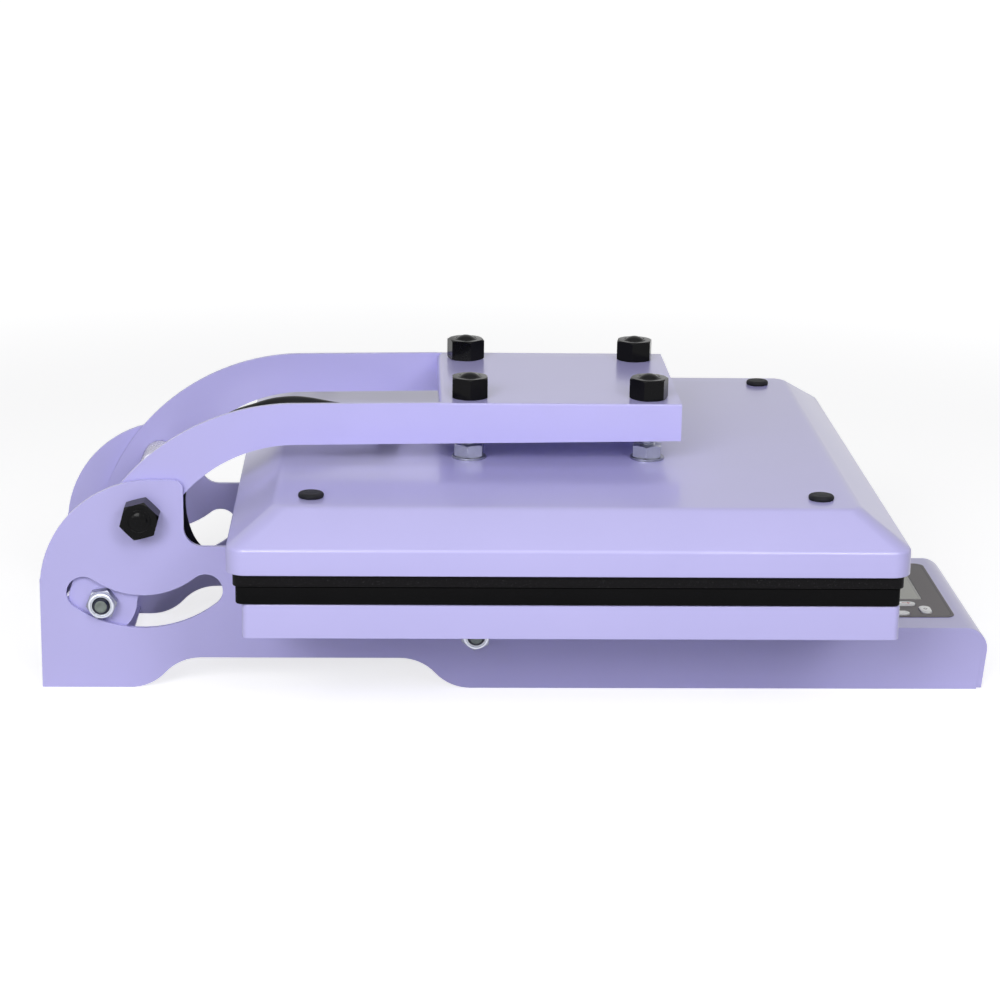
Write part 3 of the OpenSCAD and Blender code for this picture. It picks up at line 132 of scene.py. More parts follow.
class Finish:
    """A material, or the world, and its nodes."""

    def __init__(self, name, owner=None):
        self.owner = owner or bpy.data.materials.new(name)
        self.owner.use_nodes = True
        self.tree = self.owner.node_tree
        self.tree.nodes.clear()

    def node(self, kind, settings=None, inputs=None, out=0):
        made = self.tree.nodes.new("ShaderNode" + kind)
        for key, value in (settings or {}).items():
            if key == "stops":
                ramp = made.color_ramp
                while len(ramp.elements) < len(value):
                    ramp.elements.new(0.5)
                for stop, (at, colour) in zip(ramp.elements, value):
                    stop.position, stop.color = at, colour
            else:
                setattr(made, key, value)
        for key, value in (inputs or {}).items():
            if isinstance(value, Val):
                self.tree.links.new(value.socket, made.inputs[key])
            else:
                made.inputs[key].default_value = value
        return Val(self, made.outputs[out]) if made.outputs else None

    def coords(self, centre=(0, 0, 0), scale=(1, 1, 1), turn=(0, 0, 0)):
        """Object coordinates in millimetres from a centre in millimetres."""
        at = self.node("TexCoord", out=3)
        shifted = self.node("VectorMath", {"operation": "SUBTRACT"}, {0: at, 1: [c * MM for c in centre]})
        return self.node("Mapping", None, {"Vector": shifted, "Rotation": turn,
                                           "Scale": [1000 * s for s in scale]})

    def parts(self, vector):
        """The three numbers of a vector."""
        first = self.node("SeparateXYZ", None, {0: vector})
        return [Val(self, s) for s in first.socket.node.outputs]

    def noise(self, vector, every, detail=3.0, rough=0.55):
        """Soft noise from 0 to 1 whose spots are about `every` millimetres apart."""
        return self.node("TexNoise", None, {"Vector": vector, "Scale": 1.0 / every, "Detail": detail,
                                            "Roughness": rough})

    def cells(self, vector, every, feature="F1"):
        return self.node("TexVoronoi", {"feature": feature}, {"Vector": vector, "Scale": 1.0 / every})

    def mix(self, mask, a, b):
        """Colour a where the mask is 0, colour b where it is 1."""
        return self.node("Mix", {"data_type": "RGBA"}, {0: mask, 6: a, 7: b}, out=2)

    def bump(self, height, depth, strength):
        """Normals of a height from 0 to 1 that is `depth` millimetres deep."""
        return self.node("Bump", None, {"Height": height, "Distance": depth * MM, "Strength": strength})

    def looked_at(self):
        """1 for rays that show the surface to the camera, straight, mirrored or through glass."""
        rays = self.node("LightPath").socket.node.outputs
        straight, mirrored = Val(self, rays["Is Camera Ray"]), Val(self, rays["Is Glossy Ray"])
        return straight.most(mirrored).most(Val(self, rays["Is Transmission Ray"]))

    def close(self, **sockets):
        """The surface itself; names are the shader's, with _ for a space."""
        surface = self.node("BsdfPrincipled", None,
                            {key.replace("_", " "): value for key, value in sockets.items()})
        self.node("OutputMaterial", None, {"Surface": surface})
        return self.owner


def srgb(r, g, b):
    """A colour as it is read off a screen, 0 to 255, made linear."""
    shares = [c / 255 for c in (r, g, b)]
    return (*(c / 12.92 if c <= 0.04045 else ((c + 0.055) / 1.055) ** 2.4 for c in shares), 1.0)


# ---------------------------------------------------------------- finishes

def powder_coat():
    """Semi-gloss lavender powder coat: fine orange peel, a few dust specks, faint clouding."""
    f = Finish("lavender_powder_coat")
    at = f.coords()
    cloud = f.noise(at, 60.0, 2.0)
    peel = f.noise(at, 1.3, 2.0, 0.5)
    grain = f.noise(at, 0.35, 1.0)
    dust = f.cells(at, 9.0).below(0.028)
    rub = f.noise(f.coords(scale=(0.15, 1.0, 1.0)), 4.0, 4.0, 0.6).band(0.62, 0.8)
    colour = f.mix(cloud, srgb(184, 180, 233), srgb(190, 185, 238))
    colour = f.mix(dust * 0.5, colour, srgb(206, 203, 232))
    return f.close(Base_Color=colour, Roughness=0.3 + cloud * 0.05 + rub * 0.06,
                   Normal=f.bump(peel * 0.8 + grain * 0.2, 0.05, 0.5),
                   Coat_Weight=0.42, Coat_Roughness=0.14)


def zinc_plate(name, low, high):
    """Zinc plate with a bluish cast, turned and rolled marks, slight clouding."""
    f = Finish(name)
    at = f.coords()
    cloud = f.noise(at, 5.0, 4.0, 0.6)
    marks = f.noise(f.coords(scale=(1, 1, 0.12)), 0.5, 2.0)
    colour = f.mix(cloud, low, high)
    stain = f.noise(at, 2.2, 5.0, 0.7).band(0.6, 0.75)
    colour = f.mix(stain * 0.35, colour, srgb(138, 137, 134))
    return f.close(Base_Color=colour, Metallic=0.92 - stain * 0.25,
                   Roughness=0.24 + cloud * 0.14 + stain * 0.12, Normal=f.bump(marks, 0.02, 0.5))


def cut_end():
    """Sheared bolt end: dull grey-green passivation over a torn face."""
    f = Finish("dull_bolt_end")
    at = f.coords()
    torn = f.noise(at, 1.1, 5.0, 0.7)
    film = f.noise(at, 2.6, 2.0)
    colour = f.mix(film, srgb(96, 106, 100), srgb(126, 133, 130))
    colour = f.mix(torn.band(0.55, 0.75) * 0.5, colour, srgb(84, 90, 88))
    return f.close(Base_Color=colour, Metallic=0.55, Roughness=0.46 + torn * 0.16,
                   Normal=f.bump(torn, 0.12, 0.6))


def spring_wire():
    """Drawn wire, lightly oiled, its colour lightened and tinted lavender as a painted reflection of the
    lavender arms.
    """
    f = Finish("oiled_spring_wire")
    at = f.coords()
    drawn = f.noise(at, 1.1, 3.0)
    # painted reflection: the lavender-grey tint stands in for the lavender arms mirrored in the wire
    colour = f.mix(drawn, srgb(166, 165, 182), srgb(206, 204, 222))
    return f.close(Base_Color=colour, Metallic=0.9, Roughness=0.22 + drawn * 0.12,
                   Normal=f.bump(drawn, 0.02, 0.4))


def cap_moulding():
    """Glossy black moulded caps: slight flow waviness, hair scratches, a dark body."""
    f = Finish("glossy_black_cap")
    at = f.coords()
    flow = f.noise(at, 6.0, 2.0)
    hair = f.noise(f.coords(scale=(0.1, 1.0, 1.4), turn=(0.4, 0.2, 0.7)), 0.6, 3.0, 0.7).band(0.6, 0.72)
    colour = f.mix(flow, srgb(7, 7, 8), srgb(11, 11, 13))
    return f.close(Base_Color=colour, Roughness=0.13 + hair * 0.12 + flow * 0.04,
                   Normal=f.bump(flow, 0.12, 0.3), Specular_IOR_Level=0.11)


def matt_moulding():
    """Matt black moulding with a fine spark-eroded grain."""
    f = Finish("matt_black_moulding")
    at = f.coords()
    grain = f.noise(at, 0.32, 2.0, 0.6)
    cloud = f.noise(at, 12.0, 2.0)
    colour = f.mix(cloud, srgb(34, 34, 36), srgb(46, 46, 48))
    return f.close(Base_Color=colour, Roughness=0.52 + grain * 0.16, Normal=f.bump(grain, 0.05, 0.5))


def plug_rubber():
    """Moulded dark rubber with a dull bloom."""
    f = Finish("moulded_plug_rubber")
    at = f.coords()
    grain = f.noise(at, 0.5, 3.0, 0.6)
    bloom = f.noise(at, 4.0, 3.0).band(0.45, 0.75)
    colour = f.mix(bloom, srgb(26, 26, 30), srgb(44, 43, 50))
    return f.close(Base_Color=colour, Roughness=0.58 + bloom * 0.14, Specular_IOR_Level=0.14,
                   Normal=f.bump(grain, 0.06, 0.5))


def pad_silicone():
    """Black cellular silicone: closed pores on the cut sides, a smoother skin on top."""
    f = Finish("black_cellular_silicone")
    at = f.coords()
    pores = f.cells(at, 1.1).band(0.0, 0.45)
    fine = f.noise(at, 0.6, 3.0, 0.65)
    tone = f.noise(at, 18.0, 3.0)
    colour = f.mix(tone, srgb(9, 9, 10), srgb(14, 14, 15))
    colour = f.mix((1.0 - pores) * 0.3, colour, srgb(22, 21, 22))
    return f.close(Base_Color=colour, Roughness=0.55 + fine * 0.16, Specular_IOR_Level=0.05,
                   Normal=f.bump(pores * 0.6 + fine * 0.4, 0.09, 0.5))


def heater_coat():
    """Black non-stick coat on a sawn alloy plate: rough on the edges, with grey specks."""
    f = Finish("black_nonstick_coat")
    at = f.coords()
    rough = f.noise(at, 1.4, 6.0, 0.75)
    specks = f.noise(at, 0.7, 4.0, 0.8).band(0.6, 0.72)
    sawn = f.noise(f.coords(scale=(0.06, 0.06, 1.0)), 0.6, 3.0)
    colour = f.mix(rough, srgb(10, 10, 11), srgb(24, 23, 25))
    colour = f.mix(specks * 0.75, colour, srgb(96, 94, 98))
    return f.close(Base_Color=colour, Roughness=0.42 + rough * 0.25 - specks * 0.1, Specular_IOR_Level=0.08,
                   Normal=f.bump(rough * 0.7 + sawn * 0.3, 0.22, 0.7))


def tube_alloy():
    """Drawn alloy tube with heat tints."""
    f = Finish("drawn_alloy_sheath")
    at = f.coords()
    drawn = f.noise(f.coords(scale=(0.05, 1, 1)), 0.5, 3.0)
    heat = f.noise(at, 22.0, 3.0)
    colour = f.mix(heat, srgb(168, 166, 162), srgb(196, 194, 196))
    return f.close(Base_Color=colour, Metallic=0.9, Roughness=0.36 + drawn * 0.14,
                   Normal=f.bump(drawn, 0.03, 0.5))


def bush_bronze():
    """Sintered bronze with oil in its pores."""
    f = Finish("sintered_bronze")
    at = f.coords()
    grit = f.noise(at, 0.4, 3.0, 0.7)
    oil = f.noise(at, 6.0, 3.0).band(0.5, 0.7)
    colour = f.mix(grit, srgb(150, 112, 66), srgb(190, 150, 92))
    colour = f.mix(oil * 0.5, colour, srgb(96, 72, 44))
    return f.close(Base_Color=colour, Metallic=0.85, Roughness=0.42 + grit * 0.15 - oil * 0.1,
                   Normal=f.bump(grit, 0.05, 0.6))


def fibre_board():
    """Pressed mineral fibre: long pale fibres with browner spots."""
    f = Finish("pressed_mineral_fibre")
    long_way = f.noise(f.coords(scale=(0.12, 1.0, 1.0)), 1.2, 5.0, 0.7)
    cross_way = f.noise(f.coords(scale=(1.0, 0.12, 1.0)), 1.2, 5.0, 0.7)
    spots = f.noise(f.coords(), 9.0, 3.0).band(0.55, 0.75)
    strands = long_way.most(cross_way)
    colour = f.mix(strands, srgb(176, 164, 134), srgb(228, 220, 198))
    colour = f.mix(spots * 0.4, colour, srgb(186, 160, 116))
    return f.close(Base_Color=colour, Roughness=0.92, Normal=f.bump(strands, 0.35, 0.8))


def pale_moulding():
    """Pale heat-proof moulding with a fine grain."""
    f = Finish("pale_heatproof_moulding")
    at = f.coords()
    grain = f.noise(at, 0.5, 3.0)
    tone = f.noise(at, 14.0, 3.0)
    colour = f.mix(tone, srgb(214, 210, 196), srgb(230, 227, 216))
    return f.close(Base_Color=colour, Roughness=0.5 + grain * 0.12, Normal=f.bump(grain, 0.04, 0.4))


def green_laminate():
    """Circuit laminate: the weave shows through, with darker tracks on a grid."""
    f = Finish("green_laminate")
    weave = f.node("TexWave", {"wave_type": "BANDS", "bands_direction": "X"},
                   {"Vector": f.coords(), "Scale": 0.35}, out=1)
    tracks = f.cells(f.coords(scale=(1, 1, 0)), 6.0, "DISTANCE_TO_EDGE").below(0.07)
    colour = f.mix(tracks, srgb(18, 84, 46), srgb(40, 124, 70))
    return f.close(Base_Color=colour, Roughness=0.34 + weave * 0.08,
                   Normal=f.bump(weave * 0.5 + tracks * 0.5, 0.05, 0.5))


def overlay_film():
    """Dark grey printed film: hairline border inside the edge, fine velvet grain, slow tone changes, and
    painted shade that darkens it towards the back.
    """
    f = Finish("dark_grey_overlay_film")
    x, y, _ = f.parts(f.coords(centre=(248.6, 3.75, 40.4)))
    grain = f.noise(f.coords(), 0.3, 2.0, 0.6)
    slow = f.noise(f.coords(), 45.0, 2.0)
    out_x = (x.size() - 20.6).most(0.0)
    out_y = (y.size() - 49.85).most(0.0)
    reach = (out_x * out_x + out_y * out_y).root()
    line = reach.band(6.3, 6.6) * (1.0 - reach.band(6.9, 7.2))
    # painted shade: the film darkens from front (y -70) to back (y +70)
    colour = f.mix(y.band(-70.0, 70.0), srgb(90, 84, 86), srgb(78, 74, 75))
    colour = f.mix(slow * 0.35, colour, srgb(96, 91, 93))
    colour = f.mix(line * 0.85, colour, srgb(50, 46, 48))
    return f.close(Base_Color=colour, Roughness=0.4 + grain * 0.1, Specular_IOR_Level=0.33,
                   Normal=f.bump(grain, 0.02, 0.4))


def display_pane():
    """Unlit display: pale grey-green pane, darker in a band round its edge with painted shadow of the bezel,
    and a faint polariser cast.
    """
    f = Finish("grey_green_display")
    x, y, _ = f.parts(f.coords(centre=(248.0, 12.0, 40.4)))
    bezel_shadow_x, bezel_shadow_y = x.size().band(12.7, 13.1), y.size().band(27.6, 28.0)
    cast = f.noise(f.coords(), 40.0, 2.0)
    dots = f.cells(f.coords(scale=(1, 1, 0)), 0.55)
    colour = f.mix(cast, srgb(138, 140, 124), srgb(150, 152, 136))
    # painted shadow of the bezel: the pane is darker in a band round its edge
    colour = f.mix(bezel_shadow_x.most(bezel_shadow_y) * 0.55, colour, srgb(112, 112, 105))
    return f.close(Base_Color=colour, Roughness=0.18 + dots * 0.03, Normal=f.bump(dots, 0.004, 0.3),
                   Specular_IOR_Level=0.4, Coat_Weight=0.15, Coat_Roughness=0.05)


def key_white(name, mark):
    """Satin off-white key; mark is none, arrow or ring, printed small in the middle."""
    f = Finish("satin_key_" + mark)
    x, y, turn = BUTTONS[name]
    u, v, _ = f.parts(f.coords(centre=(x, y, 41.0), turn=(0, 0, radians(-turn))))
    grain = f.noise(f.coords(), 0.35, 2.0)
    tone = f.noise(f.coords(), 5.0, 2.0)
    colour = f.mix(tone, srgb(232, 232, 231), srgb(240, 240, 239))
    if mark == "arrow":
        shaft = (u - 0.4).size().below(2.2) * v.size().below(0.6)
        head = (v.size() * 1.2 + (u - 2.2).size() * 1.1).below(2.1) * (u - 2.2).above(-0.5)
        colour = f.mix(shaft.most(head), colour, srgb(178, 30, 44))
    if mark == "ring":
        away = u.size() * 0.8 + v.size()
        outline = away.band(0.5, 0.9) * (1.0 - away.band(1.3, 1.7))
        colour = f.mix(outline, colour, srgb(52, 50, 54))
    return f.close(Base_Color=colour, Roughness=0.3 + grain * 0.1, Normal=f.bump(grain, 0.02, 0.4),
                   Coat_Weight=0.8, Coat_Roughness=0.1)


def rocker_moulding():
    """Glossy black rocker with the two usual plain marks of a mains switch."""
    f = Finish("glossy_black_rocker")
    _, y, z = f.parts(f.coords(centre=(-290.0, 28.0, 22.0)))
    stroke = y.size().below(0.4) * (z - 5.8).size().below(1.9)
    down = z + 5.8
    away = (y * y + down * down).root()
    circle = away.above(1.35) * away.below(2.1)
    skin = f.noise(f.coords(), 0.6, 2.0)
    colour = f.mix(stroke.most(circle), srgb(22, 22, 24), srgb(226, 226, 224))
    return f.close(Base_Color=colour, Roughness=0.24 + skin * 0.1, Normal=f.bump(skin, 0.02, 0.3))


def lead_sheath():
    """Black heat-proof sheath: smooth, with a faint run along it and a little dust."""
    f = Finish("black_lead_sheath")
    at = f.coords()
    dust = f.noise(at, 1.6, 5.0, 0.7).band(0.58, 0.8)
    soft = f.noise(at, 7.0, 2.0)
    colour = f.mix(soft, srgb(12, 12, 13), srgb(20, 20, 22))
    colour = f.mix(dust * 0.25, colour, srgb(58, 58, 62))
    return f.close(Base_Color=colour, Roughness=0.38 + dust * 0.2, Specular_IOR_Level=0.16,
                   Normal=f.bump(dust * 0.5 + soft * 0.5, 0.06, 0.4))


def nylon_ring():
    """Dark blue nylon of locking nuts; it is also laid on the bolts' threaded ends as painted shade."""
    f = Finish("dark_locking_nylon")
    at = f.coords()
    worn = f.noise(at, 0.6, 3.0)
    colour = f.mix(worn, srgb(22, 26, 44), srgb(36, 42, 62))
    return f.close(Base_Color=colour, Roughness=0.24 + worn * 0.15, Specular_IOR_Level=0.3,
                   Normal=f.bump(worn, 0.05, 0.5))


FINISHES = {
    "paint": powder_coat(), "spring_steel": spring_wire(), "cut_end": cut_end(),
    "zinc": zinc_plate("zinc_plate", srgb(160, 163, 178), srgb(188, 191, 203)),
    # painted shade and painted highlight: a darker and a lighter copy of the same zinc plate
    "zinc_painted_shade": zinc_plate("painted_shade_zinc_plate", srgb(128, 130, 146), srgb(154, 156, 170)),
    "zinc_painted_highlight": zinc_plate("painted_highlight_zinc_plate", srgb(206, 209, 218), srgb(228, 231, 238)),
    "black_gloss": cap_moulding(), "black_matte": matt_moulding(), "rubber": plug_rubber(),
    "silicone": pad_silicone(), "heater_alloy": heater_coat(), "tube_alloy": tube_alloy(),
    "bronze": bush_bronze(), "wool": fibre_board(), "ceramic": pale_moulding(),
    "board": green_laminate(), "overlay_film": overlay_film(), "display_glass": display_pane(),
    "cable_skin": lead_sheath(), "nylon": nylon_ring(), "rocker": rocker_moulding(),
    "key_red": key_white("button_far", "arrow"), "key_dark": key_white("button_front", "ring"),
    "key_plain": key_white("button_near", "none"),
}


# ---------------------------------------------------------------- making pieces

def share_normals(bm, limit):
    """Smooth faces, with an edge left crisp where its faces meet at more than the limit."""
    for face in bm.faces:
        face.smooth = True
    for edge in bm.edges:
        edge.smooth = len(edge.link_faces) == 2 and edge.calc_face_angle(pi) < radians(limit)


def put(name, bm, finish, body, nodes=(), limit=32):
    """Turns a finished bmesh into a piece that rides on a body."""
    share_normals(bm, limit)
    mesh = bpy.data.meshes.new(name)
    bm.to_mesh(mesh)
    bm.free()
    mesh.materials.append(FINISHES[finish])
    made = bpy.data.objects.new(name, mesh)
    bpy.context.scene.collection.objects.link(made)
    if body:
        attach(made, body)
    if nodes:
        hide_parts(*nodes)
    return made


def edges_softened(made, width, segments=2, angle=30):
    """Rounds the piece's edges that are sharper than an angle."""
    soft = made.modifiers.new("soft_edges", "BEVEL")
    soft.width, soft.segments, soft.limit_method = width * MM, segments, "ANGLE"
    soft.angle_limit, soft.harden_normals = radians(angle), True
    return made


def copy_of(node, merge):
    """A merged copy of a frame node, its flat triangles joined up."""
    bm = bmesh.new()
    bm.from_mesh(NODES[node].data)
    bmesh.ops.remove_doubles(bm, verts=bm.verts, dist=merge * MM)
    bmesh.ops.dissolve_degenerate(bm, edges=bm.edges, dist=0.02 * MM)
    bmesh.ops.dissolve_limit(bm, angle_limit=radians(0.5), verts=bm.verts, edges=bm.edges)
    return bm


def dress(node, width, finish=None, merge=0.08, segments=2, angle=30, change=None):
    """The node's own shape with its edges broken as a maker would."""
    bm = copy_of(node, merge)
    if change:
        change(bm)
    slot = SLOT_OF[node]
    made = put("finished_" + node, bm, finish or slot, NODES[node]["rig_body"], [node])
    return edges_softened(made, width, segments, angle)


def ring(bm, hx, hy, r, z, corner=12):
    """A round-cornered loop: a circle whose quarters are moved apart."""
    made = bmesh.ops.create_circle(bm, segments=4 * corner, radius=r * MM,
                                   matrix=Matrix.Rotation(pi / (4 * corner), 4, "Z"))["verts"]
    for vert in made:
        side = Vector(((hx - r) * (1 if vert.co.x > 0 else -1), (hy - r) * (1 if vert.co.y > 0 else -1), z))
        bmesh.ops.translate(bm, verts=[vert], vec=side * MM)
    return list({edge for vert in made for edge in vert.link_edges})


def stack(rings, corner=12, bottom=True):
    """A body through round-cornered loops (half x, half y, corner radius, height), closed on top."""
    bm = bmesh.new()
    loops = [ring(bm, *sizes, corner) for sizes in rings]
    for low, high in zip(loops, loops[1:]):
        bmesh.ops.bridge_loops(bm, edges=low + high)
    if bottom:
        bmesh.ops.contextual_create(bm, geom=loops[0])
    bmesh.ops.contextual_create(bm, geom=loops[-1])
    bmesh.ops.recalc_face_normals(bm, faces=bm.faces)
    return bm


def soften(bm, z, width, segments):
    """Rounds the edges that lie flat at a height."""
    edges = [e for e in bm.edges if all(abs(v.co.z - z * MM) < 0.02 * MM for v in e.verts)
             and len(e.link_faces) == 2 and e.calc_face_angle(0) > 0.1]
    bmesh.ops.bevel(bm, geom=edges, offset=width * MM, offset_type="OFFSET", segments=segments,
                    profile=0.5, affect="EDGES", material=-1, clamp_overlap=True)


def moved(bm, x, y, z=0.0, turn=0.0):
    """Turns a bmesh about Z and shifts it by millimetres."""
    bmesh.ops.rotate(bm, verts=bm.verts, cent=(0, 0, 0), matrix=Matrix.Rotation(turn, 3, "Z"))
    bmesh.ops.translate(bm, verts=bm.verts, vec=Vector((x, y, z)) * MM)
    return bm


def turned(profile, steps=48):
    """A body of revolution about Z from (radius, height) points in millimetres."""
    bm = bmesh.new()
    verts = [bm.verts.new((r * MM, 0, z * MM)) for r, z in profile]
    line = [bm.edges.new(pair) for pair in zip(verts, verts[1:])]
    bmesh.ops.spin(bm, geom=verts + line, cent=(0, 0, 0), axis=(0, 0, 1), angle=2 * pi, steps=steps,
                   use_merge=True)
    bmesh.ops.remove_doubles(bm, verts=bm.verts, dist=0.002 * MM)
    bmesh.ops.dissolve_degenerate(bm, edges=bm.edges, dist=0.001 * MM)
    bmesh.ops.recalc_face_normals(bm, faces=bm.faces)
    return bm


def thread(core, z0, z1, steps=20):
    """A closed M10 thread ridge that winds up a core about Z."""
    bm = bmesh.new()
    count = int((z1 - z0) / M10_PITCH * steps)
    section = [(core - 0.1, -0.44), (M10, -0.09), (M10, 0.09), (core - 0.1, 0.44)]
    verts = [bm.verts.new((r * MM, 0, (z0 + M10_PITCH * up) * MM)) for r, up in section]
    line = [bm.edges.new(pair) for pair in zip(verts, verts[1:] + verts[:1])]
    bmesh.ops.spin(bm, geom=verts + line, cent=(0, 0, 0), axis=(0, 0, 1), angle=2 * pi * count / steps,
                   dvec=(0, 0, M10_PITCH / steps * MM), steps=count)
    bmesh.ops.holes_fill(bm, edges=[e for e in bm.edges if e.is_boundary])
    bmesh.ops.recalc_face_normals(bm, faces=bm.faces)
    return bm


def poured(into, other, matrix=None):
    """Adds a bmesh to another, placed by a matrix, and frees it."""
    scratch = bpy.data.meshes.new("scratch")
    other.to_mesh(scratch)
    other.free()
    if matrix is not None:
        scratch.transform(matrix)
    into.from_mesh(scratch)
    bpy.data.meshes.remove(scratch)


def tube_along(name, points, radius, sides=4, smooth=3):
    """A round tube on one smooth curve through points in millimetres."""
    curve = bpy.data.curves.new(name, "CURVE")
    curve.dimensions, curve.bevel_depth, curve.bevel_resolution = "3D", radius * MM, sides
    curve.use_fill_caps, curve.resolution_u = True, smooth
    line = curve.splines.new("NURBS")
    line.points.add(len(points) - 1)
    for spot, at in zip(line.points, points):
        spot.co = (at[0] * MM, at[1] * MM, at[2] * MM, 1.0)
    line.use_endpoint_u, line.order_u = True, 4
    shape = bpy.data.objects.new(name + "_line", curve)
    bpy.context.scene.collection.objects.link(shape)
    bpy.context.view_layer.update()
    mesh = bpy.data.meshes.new_from_object(shape.evaluated_get(bpy.context.evaluated_depsgraph_get()))
    bpy.data.objects.remove(shape)
    bm = bmesh.new()
    bm.from_mesh(mesh)
    bpy.data.meshes.remove(mesh)
    bmesh.ops.remove_doubles(bm, verts=bm.verts, dist=0.005 * MM)
    bmesh.ops.recalc_face_normals(bm, faces=bm.faces)
    return bm


OUT_NEAR = Matrix.Rotation(pi / 2, 4, "X")
OUT_FAR = Matrix.Rotation(-pi / 2, 4, "X")


def sideways(x, y, z, near):
    """Stands a piece made along Z out of the near or far side."""
    return Matrix.Translation(Vector((x, -y if near else y, z)) * MM) @ (OUT_NEAR if near else OUT_FAR)


# ---------------------------------------------------------------- base

def base_frame():
    """Painted sheet-metal parts of the base."""
    for node in ("side_plate_near", "side_plate_far"):
        dress(node, 0.8, segments=3)
    dress("control_housing", 0.6, segments=3)
    dress("rear_panel", 0.35)
    for node in ("table_deck", "bulkhead", "floor_pan"):
        dress(node, 0.3)


def table():
    """Pressed pan with round corners and a rolled upper rim, the pad on it."""
    bm = stack([(190, 190, 4, z) for z in (PAN_FOOT, PAN_TOP)], bottom=False)
    soften(bm, PAN_TOP, 1.6, 4)
    bmesh.ops.solidify(bm, geom=bm.faces[:], thickness=2.0 * MM)
    moved(bm, TABLE_X, 0)
    edges_softened(put("pressed_table_pan", bm, "paint", "base", ["table_pan"]), 0.3, 2, 60)

    bm = stack([(191.5, 191.5, 4, z) for z in (PAN_TOP, PAD_TOP)])
    soften(bm, PAN_TOP, 0.9, 3)
    soften(bm, PAD_TOP, 0.9, 3)
    pad = put("silicone_table_pad", moved(bm, PLATEN_X, 0), "silicone", "base", ["silicone_pad"])


# ---------------------------------------------------------------- platen

def platen():
    """Pressed cover with soft creases, hollow below, over the coated heater plate."""
    bm = stack([(197, 197, 12, COVER_FOOT), (197, 197, 12, COVER_CREASE), (170, 170, 9, COVER_TOP)],
               corner=16, bottom=False)
    soften(bm, COVER_CREASE, 1.7, 3)
    soften(bm, COVER_TOP, 2.4, 4)
    bmesh.ops.solidify(bm, geom=bm.faces[:], thickness=1.5 * MM)
    moved(bm, PLATEN_X, 0)
    cover = put("pressed_platen_cover", bm, "paint", "press_head", ["platen_cover"], limit=40)
    edges_softened(cover, 0.6, 3, 60)

    bm = stack([(193, 193, 4, z) for z in (HEATER_FOOT, HEATER_TOP)])
    soften(bm, HEATER_FOOT, 0.8, 2)
    soften(bm, HEATER_TOP, 0.5, 2)
    put("coated_heater_plate", moved(bm, PLATEN_X, 0), "heater_alloy", "press_head", ["heater_plate"])

    bm = stack([(179.4, 179.4, 14, 122.4), (179.8, 179.8, 15, 125.0), (179.8, 179.8, 15, 130.6),
                (179.2, 179.2, 14, 133.2)])
    put("fibre_board_layer", moved(bm, PLATEN_X, 0), "wool", "press_head", ["insulation"])


def cover_plugs():
    """Rubber plugs with a stem, a rounded rim and a moulded ring on top."""
    bm = bmesh.new()
    stem = [(0, -3.4), (3.6, -3.4), (3.9, -3.0), (3.9, 0.05)]
    rim = [(6.9, 0.05), (7.3, 0.25), (7.5, 0.8), (7.5, 1.7), (7.3, 2.3), (6.8, 2.75), (6.0, 3.0)]
    top = [(4.6, 3.08), (4.2, 3.0), (3.9, 3.0), (3.4, 3.08), (0, 3.1)]
    for x, y in PLUGS:
        poured(bm, moved(turned(stem + rim + top, 40), x, y, COVER_TOP))
    put("rubber_plugs", bm, "rubber", "press_head", ["cover_plugs"], limit=50)


def stud_set():
    """Threaded studs, plain where nuts and web hide them, with a ridge where they show."""
    bm = bmesh.new()
    foot, top, seen_from, seen_to = 104.7, 191.4, 151.2, 171.6
    profile = [(0, foot), (4.5, foot), (M10, foot + 0.5), (M10, seen_from - 0.6), (M10_CORE, seen_from),
               (M10_CORE, seen_to), (M10, seen_to + 0.6), (M10, top - 1), (4.2, top), (0, top)]
    for x, y in STUDS:
        poured(bm, moved(turned(profile, 32), x, y))
        poured(bm, moved(thread(M10_CORE, seen_from - 0.4, seen_to + 0.6), x, y))
    put("threaded_studs", bm, "zinc", "press_head", ["studs"])


# ---------------------------------------------------------------- bolts and nuts

def cut_back(limit):
    """Takes a bolt off outside a distance from the middle, on both sides."""
    def change(bm):
        for side in (-1, 1):
            bmesh.ops.bisect_plane(bm, geom=bm.verts[:] + bm.edges[:] + bm.faces[:], clear_outer=True,
                                   plane_co=(0, side * limit * MM, 0), plane_no=(0, side, 0))
        bmesh.ops.holes_fill(bm, edges=[e for e in bm.edges if e.is_boundary])
    return change


def bolt_ends(name, at, start, end, body):
    """Threaded ends darkened with painted shade, with a dull sheared face, that stand out of locking nuts on
    both sides.
    """
    threads, faces = bmesh.new(), bmesh.new()
    long, core, flat = end - start, 4.2, 3.75
    shank = [(0, 0), (core, 0), (core, long - 1.1), (M10 - 0.1, long - 1.1), (flat + 0.1, long - 0.1),
             (flat + 0.1, long - 0.6), (0, long - 0.6)]
    face = [(0, long - 0.7), (flat, long - 0.7), (flat, long - 0.12), (flat - 0.2, long), (flat - 1.2, long),
            (flat - 1.6, long - 0.15), (0, long - 0.15)]
    for near in (True, False):
        place = sideways(at[0], start, at[1], near)
        poured(threads, turned(shank, 32), place)
        poured(threads, thread(core, 0.7, long - 1.0), place)
        poured(faces, turned(face, 32), place)
    # painted shade: the threads take the dark nylon finish
    put(name + "_thread", threads, "nylon", body)
    put(name + "_face", faces, "cut_end", body)


